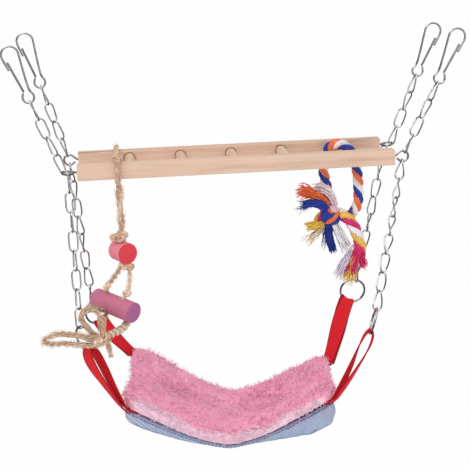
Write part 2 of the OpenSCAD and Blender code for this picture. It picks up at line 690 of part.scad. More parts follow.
snap_hook(left, front);  // hook_front_left
snap_hook(right, front);  // hook_front_right
snap_hook(left, rear);  // hook_rear_left
snap_hook(right, rear);  // hook_rear_right
snap_gate(left, front);  // gate_front_left
snap_gate(right, front);  // gate_front_right
snap_gate(left, rear);  // gate_rear_left
snap_gate(right, rear);  // gate_rear_right
upper_chain(left, front);  // upper_chain_front_left
upper_chain(right, front);  // upper_chain_front_right
upper_chain(left, rear);  // upper_chain_rear_left
upper_chain(right, rear);  // upper_chain_rear_right
screw_eye(left, front);  // screw_eye_front_left
screw_eye(right, front);  // screw_eye_front_right
screw_eye(left, rear);  // screw_eye_rear_left
screw_eye(right, rear);  // screw_eye_rear_right
rail(front);  // rail_front
rail(rear);  // rail_rear
rung(-2);  // rung_1
rung(-1);  // rung_2
rung(0);  // rung_3
rung(1);  // rung_4
rung(2);  // rung_5
lower_chain(left, front);  // lower_chain_front_left
lower_chain(right, front);  // lower_chain_front_right
lower_chain(left, rear);  // lower_chain_rear_left
lower_chain(right, rear);  // lower_chain_rear_right
split_ring(left, front);  // ring_front_left
split_ring(right, front);  // ring_front_right
split_ring(left, rear);  // ring_rear_left
split_ring(right, rear);  // ring_rear_right
strap(left, front);  // strap_front_left
strap(right, front);  // strap_front_right
strap(left, rear);  // strap_rear_left
strap(right, rear);  // strap_rear_right
plush_pad();
woven_base();
twine_hanger();
twine_drop();
red_bead();
twine_legs();
purple_bead();
twine_bow();
cotton_rope();
rope_knot();
short_rope();
tassel_side();
tassel_low();
tassel_yellow();
tassel_pink();
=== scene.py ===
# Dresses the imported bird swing: wood, plated wire, webbing, plush, canvas, twine and cotton rope.
# Routes and places are in millimetres about the middle of the ladder until place() turns them into the
# frame's metres. Radii, steps and pitches of tubes are in metres.
import math
import random

import bpy
import numpy as np
from mathutils import Matrix, Vector, noise


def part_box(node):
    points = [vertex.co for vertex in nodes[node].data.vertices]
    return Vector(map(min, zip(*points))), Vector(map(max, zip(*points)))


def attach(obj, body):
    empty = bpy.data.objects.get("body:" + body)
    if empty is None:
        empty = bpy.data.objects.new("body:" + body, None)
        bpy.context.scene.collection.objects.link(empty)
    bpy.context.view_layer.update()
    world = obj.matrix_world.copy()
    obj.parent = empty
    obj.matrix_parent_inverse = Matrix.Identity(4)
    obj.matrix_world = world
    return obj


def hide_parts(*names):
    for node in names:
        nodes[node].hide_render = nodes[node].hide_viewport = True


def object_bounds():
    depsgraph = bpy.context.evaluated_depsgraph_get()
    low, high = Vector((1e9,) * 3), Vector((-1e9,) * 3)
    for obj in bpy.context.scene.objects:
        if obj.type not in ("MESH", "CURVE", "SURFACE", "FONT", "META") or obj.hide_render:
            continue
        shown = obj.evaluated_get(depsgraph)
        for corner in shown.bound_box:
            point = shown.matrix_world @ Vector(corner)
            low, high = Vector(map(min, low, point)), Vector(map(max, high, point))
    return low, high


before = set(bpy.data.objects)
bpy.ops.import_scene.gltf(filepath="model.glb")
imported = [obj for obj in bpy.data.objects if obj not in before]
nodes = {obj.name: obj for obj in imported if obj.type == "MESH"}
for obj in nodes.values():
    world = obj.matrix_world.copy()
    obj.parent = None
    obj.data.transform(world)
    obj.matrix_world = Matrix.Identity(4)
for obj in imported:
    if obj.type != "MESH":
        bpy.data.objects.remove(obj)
cad_low, cad_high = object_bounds()
scene = bpy.context.scene
MM = 0.001
rail_low, rail_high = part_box("rail_front")
LADDER_Z = (rail_low.z + rail_high.z) / 2


def place(p):
    """A point in millimetres about the ladder's middle, in the frame."""
    return Vector((p[0] * MM, p[1] * MM, p[2] * MM + LADDER_Z))


def dyes(text):
    """Colours written as words of six hex digits, in linear light."""
    colours = []
    for word in text.split():
        parts = [int(word[i : i + 2], 16) / 255 for i in (0, 2, 4)]
        colours.append([c / 12.92 if c <= 0.04045 else ((c + 0.055) / 1.055) ** 2.4 for c in parts])
    return np.array(colours)


# Camera
AZIMUTH, ELEVATION, ROLL = (math.radians(a) for a in (-5.4, 14.0, -1.9))
DISTANCE = 900
FOCAL_PX = 1248
PHOTO_PX = 470
SENSOR_MM = 36
AIM = (-0.8, 0, -56.4)


def make_camera():
    level = math.cos(ELEVATION)
    back = Vector((math.sin(AZIMUTH) * level, -math.cos(AZIMUTH) * level, math.sin(ELEVATION)))
    side = (-back).cross(Vector((0, 0, 1))).normalized()
    up = side.cross(-back)
    right = side * math.cos(ROLL) + up * math.sin(ROLL)
    top = up * math.cos(ROLL) - side * math.sin(ROLL)
    data = bpy.data.cameras.new("camera")
    data.sensor_width = SENSOR_MM
    data.lens = FOCAL_PX / PHOTO_PX * SENSOR_MM
    data.clip_start, data.clip_end = 0.01, 100
    camera = bpy.data.objects.new("camera", data)
    camera.matrix_world = (
        Matrix.Translation(place(AIM) + back * DISTANCE * MM)
        @ Matrix((right, top, back)).transposed().to_4x4()
    )
    scene.collection.objects.link(camera)
    scene.camera = camera


make_camera()


# Materials
class Graph:
    """Short calls for the nodes of a tree. A tuple (node, socket) links, anything else is a value."""

    def __init__(self, tree):
        self.tree = tree

    def set(self, node, values):
        """A name is an input's, with _ for a space, or _ and its number. Three numbers can be a colour."""
        for name, value in values.items():
            socket = node.inputs[int(name[1:]) if name[0] == "_" else name.replace("_", " ")]
            if isinstance(value, tuple) and isinstance(value[0], bpy.types.Node):
                self.tree.links.new(value[0].outputs[value[1]], socket)
            elif np.size(value) == 3 and len(socket.default_value) == 4:
                socket.default_value = [*value, 1]
            else:
                socket.default_value = value

    def add(self, kind, settings=None, **values):
        node = self.tree.nodes.new("ShaderNode" + kind)
        for name, value in (settings or {}).items():
            setattr(node, name, value)
        self.set(node, values)
        return node

    def scaled(self, vector, scale):
        return (self.add("Mapping", Vector=vector, Scale=scale), "Vector")

    def place(self, scale):
        """Object coordinates in metres, scaled along each axis."""
        return self.scaled((self.add("TexCoord"), "Object"), scale)

    def towards(self, direction, axis):
        """From 0 where a direction points down an axis to 1 where it points up it."""
        split = self.add("SeparateXYZ", Vector=direction)
        return (self.add("MapRange", Value=(split, axis), From_Min=-1), "Result")

    def attribute(self, name, output="Vector"):
        return (self.add("Attribute", {"attribute_name": name}), output)

    def noise(self, scale, detail, vector=None, **more):
        """Noise over a vector, or over the object's coordinates in metres."""
        vector = vector or (self.add("TexCoord"), "Object")
        return (self.add("TexNoise", Vector=vector, Scale=scale, Detail=detail, **more), "Fac")

    def wave(self, vector, scale, direction, **more):
        settings = {"wave_type": "BANDS", "bands_direction": direction}
        return (self.add("TexWave", settings, Vector=vector, Scale=scale, **more), "Fac")

    def ramp(self, value, *stops):
        """Each stop is a place and a colour, and a single number is a grey."""
        node = self.add("ValToRGB", Fac=value)
        elements = node.color_ramp.elements
        while len(elements) < len(stops):
            elements.new(0.5)
        for element, (at, colour) in zip(elements, stops):
            element.position = at
            element.color = [*(np.zeros(3) + colour), 1]
        return (node, "Color")

    def mix(self, share, a, b, blend="MIX"):
        return (self.add("Mix", {"data_type": "RGBA", "blend_type": blend}, _0=share, _6=a, _7=b), 2)

    def over(self, under, colour, value, low, high, most):
        """A colour laid over another: not at all up to the low value, and by its most from the high one."""
        return self.mix(self.ramp(value, (low, 0), (high, most)), under, colour)

    def math(self, operation, a, b=0.5):
        """For MULTIPLY_ADD the added part is what a full share leaves."""
        node = self.add("Math", {"operation": operation}, _0=a, _1=b)
        if operation == "MULTIPLY_ADD":
            node.inputs[2].default_value = 1 - b
        return (node, "Value")

    def bump(self, height, distance, strength, normal=None):
        more = {"Normal": normal} if normal else {}
        return (self.add("Bump", Height=height, Distance=distance, Strength=strength, **more), "Normal")


class Shader(Graph):
    """A new material's nodes, with its surface shader."""

    def __init__(self, name, **values):
        self.material = bpy.data.materials.new(name)
        self.material.use_nodes = True
        super().__init__(self.material.node_tree)
        self.surface = self.tree.nodes["Principled BSDF"]
        self.set(self.surface, values)

    def finish(self, **values):
        self.set(self.surface, values)
        return self.material


def steel(name, colour, smoothest, roughest):
    """Plated wire: bright, with fine drawn scratches and slightly uneven gloss."""
    s = Shader(name, Metallic=1.0)
    patches = s.noise(260, 4)
    return s.finish(
        Base_Color=s.ramp(patches, (0.34, np.array(colour) * 0.72), (0.58, colour)),
        Roughness=(s.add("MapRange", Value=patches, To_Min=smoothest, To_Max=roughest), "Result"),
        Normal=s.bump(s.noise(2600, 2), 0.00002, 0.5),
    )


def wood(name, colours, stretch, heart=0.0):
    """Bare wood: fine grain along one axis and faint bands. With heart, brown streaks and pin knots too."""
    pale, mid, dark = dyes(colours)
    s = Shader(name, Roughness=0.62, Specular_IOR_Level=0.3)
    along = s.place(stretch)
    bands = s.noise(1.0, 3, along, Distortion=0.6)
    streaks = s.noise(1.0, 4, s.scaled(along, (2.2, 6, 6)))
    colour = s.ramp(bands, (0.28, mid), (0.52, pale), (0.72, mid))
    colour = s.over(colour, dark, streaks, 0.46, 0.7, 0.32)
    if heart:
        brown = s.noise(1.0, 2, s.scaled(along, (0.8, 0.3, 0.3)), Distortion=0.4)
        colour = s.over(colour, dark * 0.62, brown, 0.54, 0.7, heart)
        cells = s.add("TexVoronoi", Vector=s.place((42, 90, 90)), Scale=1.0, Randomness=1.0)
        knots = s.ramp((cells, "Distance"), (0.05, 0.8), (0.13, 0))
        rare = s.ramp(s.noise(31, 1), (0.55, 0), (0.62, 1))
        colour = s.mix(s.mix(1.0, knots, rare, "MULTIPLY"), colour, dark * 0.5)
    return s.finish(Base_Color=colour, Normal=s.bump(streaks, 0.00012, 0.6))


def stained(name, colours, axis):
    """Dyed dowel: the end grain takes more colour than the side, and the colour is paler along the rounded
    edges.
    """
    face, side = dyes(colours)
    s = Shader(name, Roughness=0.55, Specular_IOR_Level=0.3)
    way = s.add("VectorMath", {"operation": "DOT_PRODUCT"}, _0=(s.add("TexCoord"), "Normal"), _1=axis)
    turned = s.math("ABSOLUTE", (way, "Value"))
    cloud = s.noise(150, 4)
    grain = s.noise(700, 3)
    flat, end = s.mix(cloud, side, side * 0.86), s.mix(cloud, face, face * 0.84)
    colour = s.over(flat, end, turned, 0.45, 0.8, 1)
    # Paler along the rounded edges, where the end meets the side
    paler_edge = s.ramp(turned, (0.3, 0), (0.6, 0.22), (0.85, 0))
    colour = s.mix(paler_edge, colour, np.minimum(1, side * 1.25 + 0.06))
    colour = s.over(colour, face * 0.7, grain, 0.5, 0.78, 0.3)
    return s.finish(Base_Color=colour, Normal=s.bump(grain, 0.0001, 0.5))


def webbing(name, colours):
    """Woven tape, from its own map: ribs across its length, a finer rib along it and a darker edge."""
    pale, deep = dyes(colours)
    s = Shader(name, Roughness=0.7, Specular_IOR_Level=0.15)
    flow = s.attribute("flow")
    ribs = s.wave(flow, 190, "X", Distortion=1.2, Detail=1.0)
    rows = s.wave(flow, 250, "Y", Distortion=0.5)
    weave = s.math("MULTIPLY", ribs, s.math("MULTIPLY_ADD", rows, 0.6))
    colour = s.mix(s.math("MULTIPLY", ribs, 0.8), deep, pale)
    colour = s.mix(s.math("MULTIPLY", s.noise(120, 3), 0.15), colour, deep * 0.72)
    edge = s.math("ABSOLUTE", (s.add("SeparateXYZ", Vector=flow), "Y"))
    colour = s.over(colour, deep * 0.35, s.math("MULTIPLY", edge, 100.0), 0.49, 0.555, 0.75)
    return s.finish(Base_Color=colour, Normal=s.bump(weave, 0.0003, 0.9))


def pile(name):
    """Soft fibres whose colour comes with each fibre, deeper in faint clouds, with painted shade between
    combed tufts.
    """
    s = Shader(name, Roughness=0.9, Specular_IOR_Level=0.0)
    combed = s.noise(330, 4, Distortion=1.6)
    shade = s.ramp(s.noise(38, 4), (0.36, (0.95, 0.86, 0.9)), (0.62, 1))
    # Painted shade between the tufts: darker where the combed bump is low
    tuft = s.ramp(combed, (0.34, (0.95, 0.87, 0.9)), (0.58, 1))
    colour = s.mix(1.0, s.mix(1.0, s.attribute("tint", "Color"), shade, "MULTIPLY"), tuft, "MULTIPLY")
    fine = s.bump(s.noise(1300, 2), 0.0002, 0.4)
    return s.finish(Base_Color=colour, Normal=s.bump(combed, 0.0005, 0.4, fine))


def yarn(name, rough=0.9):
    """Twisted fibre: fine lines along each ply, from the ply's own map, and its own colour."""
    s = Shader(name, Roughness=rough, Specular_IOR_Level=0.05)
    lines = s.noise(1.0, 3, s.scaled(s.attribute("flow"), (140, 5, 1)), Distortion=0.4)
    shade = s.ramp(lines, (0.28, (0.7, 0.66, 0.64)), (0.55, 1))
    fuzz = s.bump(s.noise(1400, 2), 0.0002, 0.5)
    return s.finish(
        Base_Color=s.mix(1.0, s.attribute("tint", "Color"), shade, "MULTIPLY"),
        Normal=s.bump(lines, 0.0003, 0.9, fuzz),
    )


def canvas(name, colours):
    """Coarse twill: slanting ribs with a cross thread, faded in clouds towards a rosy grey."""
    pale, mid, deep, rose = dyes(colours)
    s = Shader(name, Roughness=0.8, Specular_IOR_Level=0.1)
    flow = s.attribute("flow")
    ribs = s.wave(s.scaled(flow, (1.5, 1.0, 1)), 185, "DIAGONAL", Distortion=0.8, Detail=1.5)
    threads = s.wave(flow, 420, "X", Distortion=0.8)
    weave = s.math("MULTIPLY", ribs, s.math("MULTIPLY_ADD", threads, 0.5))
    colour = s.ramp(s.noise(45, 4), (0.34, mid), (0.66, pale))
    colour = s.over(colour, rose, s.noise(17, 2), 0.42, 0.62, 0.6)
    colour = s.mix(s.math("MULTIPLY", ribs, 0.62), colour, deep)
    return s.finish(Base_Color=colour, Normal=s.bump(weave, 0.0004, 0.9))


HOOK = steel("hook_steel", (0.74, 0.75, 0.77), 0.02, 0.07)
GATE = steel("gate_steel", (0.5, 0.51, 0.53), 0.1, 0.24)
CHAIN = steel("chain_steel", (0.9, 0.91, 0.93), 0.05, 0.14)
EYE = steel("eye_steel", (0.62, 0.62, 0.64), 0.1, 0.26)
RAIL = wood("rail_wood", "E6C6B0 DEBCA5 C79E85", (14, 380, 380), 0.35)
# The rear rail: colours a little darker than the front rail's, as painted shade, and more brown streaks of
# its own grain
REAR_RAIL_WOOD_PAINTED_SHADE = wood("rear_rail_wood_painted_shade", "E0BFA8 D8B39B BC9178", (11, 300, 300), 0.75)
RUNG = wood("rung_wood", "E2C2AA D6B196 B88C70", (420, 16, 420))
# Dark wood colours for the painted shadow round each rung where it goes into the rear rail
BORE_SHADOW = wood("painted_bore_shadow", "7A5644 6A4838 4A3228", (90, 90, 90))
RED_WOOD = stained("red_stain", "E8434E F490A0", (0.451, -0.892, 0))
PURPLE_WOOD = stained("purple_stain", "B66C9A D27A96", (0.697, -0.706, -0.127))
WEBBING = webbing("red_webbing", "F63440 DC1A26")
PLUSH = pile("pink_plush")
CANVAS = canvas("grey_canvas", "C0D0E6 ACBEDA 8494B4 C4B8D4")
TWINE = yarn("jute_twine")
COTTON = yarn("cotton_yarn", 0.85)

# How far a strand's yarns stand out, how much painted shade darkens it between them, and a loose hair's
# radius
YARN_SWELL, YARN_GROOVE_PAINTED_SHADE = 0.075, 0.2
HAIR_R = 0.00011


# Meshes
class Skin:
    """Collects tubes and sheets, with a colour and a map for each vertex, into one mesh."""

    def __init__(self):
        self.points, self.faces, self.tints, self.flows = [], [], [], []
        self.count = 0

    def grid(self, rows, tint, flow, caps=True):
        """rows is an array (steps, sides, 3) in metres, tint a colour or an array and flow the map."""
        steps, sides = rows.shape[:2]
        start = self.count
        self.points.append(rows.reshape(-1, 3))
        self.tints.append(np.broadcast_to(np.asarray(tint, float), (steps, sides, 3)).reshape(-1, 3))
        self.flows.append(flow.reshape(-1, 3))
        i, k = np.meshgrid(np.arange(steps - 1), np.arange(sides), indexing="ij")
        m = (k + 1) % sides
        quads = np.stack([i * sides + k, i * sides + m, (i + 1) * sides + m, (i + 1) * sides + k], -1)
        self.faces.extend((quads.reshape(-1, 4) + start).tolist())
        if caps:
            self.faces.append([start + k for k in range(sides - 1, -1, -1)])
            self.faces.append([start + (steps - 1) * sides + k for k in range(sides)])
        self.count += steps * sides

    def tube(self, path, radii, sides, tint, caps=True, lobes=0, lay=0.012):
        """Along a path in metres, with one radius or one for each point. Lobes are yarns laid round it,
        with painted shade between them.
        """
        path = np.asarray(path, float)
        radii = np.broadcast_to(np.asarray(radii, float), len(path))
        sides_at, ups_at = carried_frames(path)
        angle = np.arange(sides) * 2 * math.pi / sides
        around = sides_at[:, None] * np.cos(angle)[None, :, None]
        around = around + ups_at[:, None] * np.sin(angle)[None, :, None]
        gone = travelled(path)
        turned = angle[None, :] + 2 * math.pi * gone[:, None] / lay
        swell = 1 + (YARN_SWELL * np.cos(lobes * turned) if lobes else 0 * turned)
        rows = path[:, None] + around * (radii[:, None] * swell)[..., None]
        flow = np.zeros((len(path), sides, 3))
        flow[..., 0] = gone[:, None]
        flow[..., 1] = np.abs(np.arange(sides) * 2 / sides - 1)[None]
        # Painted shade in the grooves between the yarns
        groove = (1 - (swell - 1) / YARN_SWELL)[..., None] / 2
        shade = np.asarray(tint) * (1 - YARN_GROOVE_PAINTED_SHADE * groove if lobes else 1)
        self.grid(rows, shade, flow, caps)

    def object(self, name, material):
        mesh = bpy.data.meshes.new(name)
        mesh.from_pydata(np.concatenate(self.points).tolist(), [], self.faces)
        mesh.validate()
        mesh.update()
        return finish_mesh(mesh, name, material, np.concatenate(self.tints), np.concatenate(self.flows))


def coat(mesh, material):
    mesh.materials.clear()
    mesh.materials.append(material)
    mesh.polygons.foreach_set("use_smooth", [True] * len(mesh.polygons))


def finish_mesh(mesh, name, material, tints, flows):
    """The mesh as an object with its material, colours and map."""
    for label, kind, field, data in (
        ("tint", "FLOAT_COLOR", "color", np.concatenate([tints, np.ones((len(tints), 1))], 1)),
        ("flow", "FLOAT_VECTOR", "vector", flows),
    ):
        layer = mesh.attributes.new(label, kind, "POINT")
        layer.data.foreach_set(field, data.astype(np.float32).ravel())
    coat(mesh, material)
    made = bpy.data.objects.new(name, mesh)
    scene.collection.objects.link(made)
    return made


def travelled(path):
    """How far along the path each of its points is."""
    return np.concatenate([[0], np.cumsum(np.linalg.norm(np.diff(path, axis=0), axis=1))])


def carried_frames(path):
    """Two unit vectors across the path at each point, carried along it without turning."""
    ways = np.gradient(path, axis=0)
    ways /= np.linalg.norm(ways, axis=1)[:, None]
    start = np.array([0.0, 1.0, 0.0]) if abs(ways[0][1]) < 0.8 else np.array([1.0, 0.0, 0.0])
    side = start - ways[0] * (start @ ways[0])
    sides = []
    for way in ways:
        side = side - way * (side @ way)
        side = side / np.linalg.norm(side)
        sides.append(side)
    sides = np.array(sides)
    return sides, np.cross(ways, sides)


def beside(path, angle, away):
    """The path moved off itself, by an angle about it for each point."""
    sides_at, ups_at = carried_frames(path)
    return path + away * (np.cos(angle)[:, None] * sides_at + np.sin(angle)[:, None] * ups_at)


def even(points, step):
    """A smooth curve through points, as an array with even steps."""
    p = np.asarray(points, float)
    p = np.concatenate([[2 * p[0] - p[1]], p, [2 * p[-1] - p[-2]]])
    fine = []
    for a, b, c, d in zip(p, p[1:], p[2:], p[3:]):
        for t in np.linspace(0, 1, 24, endpoint=False):
            two = 2 * b + (c - a) * t + (2 * a - 5 * b + 4 * c - d) * t**2 + (3 * b - a - 3 * c + d) * t**3
            fine.append(0.5 * two)
    fine = np.array([*fine, p[-2]])
    gone = travelled(fine)
    stations = np.linspace(0, gone[-1], max(3, int(round(gone[-1] / step)) + 1))
    return np.stack([np.interp(stations, gone, fine[:, k]) for k in range(3)], 1)


def length_of(path):
    return float(np.linalg.norm(np.diff(path, axis=0), axis=1).sum())


def twisted(
    skin, path, diameter, tints, pitch, step=0.0012, sides=10, phase=0.0, fuzz=0.0, seed=1, lobes=4,
    reach=1.4, hairs=None,
):
    """Plies laid round a path, one for each tint, each touching the next, with loose hairs of them."""
    path = even(path, step)
    count = len(tints)
    radius = diameter / 2 * (0.5 if count == 2 else 0.536)
    gone = travelled(path)
    for k, tint in enumerate(tints):
        angle = phase + 2 * math.pi * (k / count) - 2 * math.pi * gone / pitch
        line = beside(path, angle, diameter / 2 - radius)
        wobble = np.array([1 + 0.05 * noise.noise(Vector((g * 400, k * 7.3, seed))) for g in gone])
        skin.tube(line, radius * wobble, sides, tint, True, lobes, pitch * 0.6)
    sides_at, ups_at = carried_frames(path)
    draw = random.Random(seed)
    for _ in range(int(fuzz * length_of(path) / MM)):
        at = draw.randrange(1, len(path) - 2)
        a = draw.uniform(0, 2 * math.pi)
        out = math.cos(a) * sides_at[at] + math.sin(a) * ups_at[at]
        way = path[at + 1] - path[at - 1]
        way = way / np.linalg.norm(way) * draw.choice([-1, 1])
        long = draw.uniform(0.5, 1.0) * reach * MM
        root = path[at] + out * diameter * 0.42
        bend = root + out * long * 0.55 + way * long * 0.8
        hair = even([root, bend, root + out * long * 0.75 + way * long * 2.2], 0.0007)
        (hairs or skin).tube(hair, HAIR_R, 3, np.asarray(draw.choice(tints)) * 1.12, False)
    return path


def knotted(skin, middle, radius, strand, tint, turn, sides=8):
    """A small overhand knot: one strand through itself three times."""
    t = np.linspace(0, 2 * math.pi, 60)
    x, y = np.sin(t) + 2 * np.sin(2 * t), np.cos(t) - 2 * np.cos(2 * t)
    shape = np.stack([x, y, -1.4 * np.sin(3 * t)], 1) * (radius - strand) / 3
    spin = np.array(Matrix.Rotation(turn, 3, "Z") @ Matrix.Rotation(turn * 0.7, 3, "X"))
    skin.tube(shape @ spin.T + np.array(middle), strand, sides, tint, False)


def shown(made, body, slot, *cad):
    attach(made, body)
    if cad:
        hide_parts(*cad)
    return made


# Carried-over solids: plated wire and wood
WELD_GAP = 0.00001


def rounded(made, levels=0):
    """Joins the points that faces share, then rounds the form so many times. The mesh itself stays."""
    made.modifiers.new("weld", "WELD").merge_threshold = WELD_GAP
    if levels:
        fine = made.modifiers.new("fine", "SUBSURF")
        fine.levels = fine.render_levels = levels


def smooth_wire(name, material):
    coat(nodes[name].data, material)
    rounded(nodes[name], 2)


def plain_solid(name, material, bevel=0.0):
    made = nodes[name]
    coat(made.data, material)
    rounded(made)
    if bevel:
        edge = made.modifiers.new("edge", "BEVEL")
        edge.width = bevel
        edge.segments = 3
        edge.limit_method = "ANGLE"
        edge.angle_limit = math.radians(35)
    made.modifiers.new("smooth", "EDGE_SPLIT").split_angle = math.radians(32)


# The painted shadows' tube radius, and how far they lie off the rung and out of the rail, in metres
BORE_SHADOW_R, BORE_SHADOW_GAP, BORE_SHADOW_OUT = 0.00032, 0.0002, 0.00005
RUNGS = range(1, 6)


def make_bore_shadows():
    """Painted shadow: a dark ring of wood colour round each rung where it goes into the rear rail's bore.
    """
    skin = Skin()
    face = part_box("rail_rear")[0].y
    turn = np.linspace(0, 2 * math.pi, 41)
    for number in RUNGS:
        low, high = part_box(f"rung_{number}")
        x, z, radius = (low.x + high.x) / 2, (low.z + high.z) / 2, (high.x - low.x) / 2 + BORE_SHADOW_GAP
        ring = [x + radius * np.cos(turn), np.full(41, face - BORE_SHADOW_OUT), z + radius * np.sin(turn)]
        skin.tube(np.stack(ring, 1), BORE_SHADOW_R, 6, (1, 1, 1), False)
    shown(skin.object("painted_bore_shadows", BORE_SHADOW), "ladder", "rail_wood")


CORNERS = [(side, row) for row in ("front", "rear") for side in ("left", "right")]
for side, row in CORNERS:
    smooth_wire(f"hook_{row}_{side}", HOOK)
    smooth_wire(f"screw_eye_{row}_{side}", EYE)
    smooth_wire(f"upper_chain_{row}_{side}", CHAIN)
    smooth_wire(f"lower_chain_{row}_{side}", CHAIN)
    plain_solid(f"gate_{row}_{side}", GATE)
    plain_solid(f"ring_{row}_{side}", HOOK)
for number in RUNGS:
    plain_solid(f"rung_{number}", RUNG)
plain_solid("rail_front", RAIL, 0.0004)
plain_solid("rail_rear", REAR_RAIL_WOOD_PAINTED_SHADE, 0.0004)
plain_solid("red_bead", RED_WOOD, 0.0009)
plain_solid("purple_bead", PURPLE_WOOD, 0.0016)
make_bore_shadows()


# Twine toy
JUTE = dyes("F0D2B8 E2C2A6 FAE4CE D8B698")
TWINE_D, PAIR_D = 3.2, 5.6
TWINE_X, RAIL_Y = -82, -25
DROP_ROUTE = [(TWINE_X, RAIL_Y, z) for z in (-8.8, -20, -34, -43, -45, -47, -49, -58, -66)]
LEG_LEFT_ROUTE = [
    (-83, -25.5, -67), (-88, -23, -75), (-93.2, -21, -82), (-95, -20.5, -87), (-95, -20.5, -92),
]
LEG_RIGHT_ROUTE = [
    (-79, -26, -67), (-78, -29, -76), (-80, -32, -84), (-83.2, -32, -89), (-83.5, -32, -95),
]
TIE_ROUTE = [
    (-83.5, -32, -100), (-82.5, -32.5, -105.5), (-83, -36, -108.5), (-86.5, -40, -109.6),
    (-90.4, -44, -110), (-95.3, -48, -110.4), (-100, -51, -111),
]
BOW_ROUTE = [
    (-95, -20.5, -98), (-96.5, -23, -103.5), (-99, -36, -103), (-99.1, -47, -106),
    (-100.8, -51.5, -110.3), (-107.3, -51, -105.1), (-111.7, -50, -99.4), (-112.7, -49, -94.2),
    (-109.2, -47, -90.8), (-103.8, -47, -91.9), (-99.9, -49, -95.8), (-98.2, -52, -102.1),
    (-99.3, -56, -107.9), (-106, -57, -107.8), (-116.7, -56, -105.7), (-127.5, -55, -104.6),
    (-135.1, -54, -106.9), (-139.3, -54, -109.5), (-134.7, -54, -112.2), (-125.2, -55, -112.2),
    (-114.4, -57, -113), (-105, -58.5, -113.7), (-98.4, -57, -112.6), (-95.4, -54, -111),
    (-95, -51, -116.3), (-94.1, -50, -125.5),
]


# The drop's two strands: their pitch and distance from its middle in metres, and how much closer they lie
# from the given places on, inside the bead
DROP_PITCH, DROP_APART, BEAD_START, CLOSER = 0.034, 0.00135, (0.041, 0.044), 0.72
# Twine wound round the tie, at this distance and pitch in metres
WRAP_R, WRAP_PITCH = 0.0019, 0.0042

# Loose fibres of the twine: route, width at its start and end, and threads of each colour
FRINGES = {
    "twine_bow_strand": [
        ([(-97, -27, -99), (-101, -34, -95.5), (-107, -42, -92.5), (-112.5, -48, -93.5)], 1.6, 3.4, 16),
        ([(-99, -46, -98), (-99, -50, -104), (-100, -54, -110)], 3.4, 2.6, 14),
        ([(-110, -50, -92), (-113, -50, -97), (-107, -51, -105), (-101, -52, -110)], 1.5, 2.0, 9),
        ([(-101, -57, -112), (-116, -57, -106.5), (-128, -55, -105.4), (-138, -54, -108.8)], 1.4, 1.6, 7),
        ([(-101, -58, -113), (-114.4, -57, -112.4), (-125.2, -55, -112), (-137, -54, -110)], 1.6, 1.4, 8),
        ([(-97, -53, -110), (-95.6, -51, -117), (-93.6, -50, -127)], 0.8, 2.0, 9),
    ],
    "twine_tie_strand": [
        ([(-83, -35, -107.8), (-88, -41, -109.4), (-94, -46, -110.4), (-100, -51, -111)], 2.2, 2.6, 13),
    ],
}


def at(route):
    return np.array([place(p) for p in route])


def rail_round(x_from, x_to, middles, gap, half):
    """A strand round one rail or both, drawn from one x to the other."""
    reach = half + gap
    flat = half - 0.6
    round_r = reach - flat
    turn = []
    for quarter in range(4):
        cy = middles[0 if quarter in (0, 3) else 1] + flat * (1 if quarter in (0, 3) else -1)
        cz = flat * (1 if quarter < 2 else -1)
        for k in range(5):
            a = math.radians(90 * quarter + 22.5 * k)
            turn.append((cy + round_r * math.cos(a), cz + round_r * math.sin(a)))
    turn.append(turn[0])
    return [(x_from + (x_to - x_from) * i / (len(turn) - 1), y, z) for i, (y, z) in enumerate(turn)]


def lock(skin, draw, route, tint, count, neck, spread, thick, curl, share=(0.8, 1.0), sides=5):
    """Loose threads along a route, close together at its start and parting towards its end."""
    path = even(at(route), 0.0011)
    sides_at, ups_at = carried_frames(path)
    far = len(path) - 1
    seed = draw.uniform(0, 90)
    for k in range(count):
        turn, out = draw.uniform(0, 2 * math.pi), math.sqrt(draw.random())
        end = max(4, int(far * draw.uniform(*share))) + 1
        t = np.arange(end) / far
        way = math.cos(turn) * sides_at[:end] + math.sin(turn) * ups_at[:end]
        width = (neck + (spread - neck) * t**1.3) * MM * out
        shifts = [k * 3.1 + 9 * c for c in range(3)]
        ripple = np.array([[noise.noise(Vector((q * 5, shift, seed))) for shift in shifts] for q in t])
        line = path[:end] + way * width[:, None] + ripple * (curl * MM * np.sqrt(t))[:, None]
        shade = np.clip(np.asarray(tint) * draw.uniform(0.84, 1.1), 0, 0.96)
        radii = thick * MM * draw.uniform(0.8, 1.25) * np.interp(t / t[-1], [0, 0.75, 1], [1.1, 1.0, 0.5])
        skin.tube(line, radii, sides, shade)


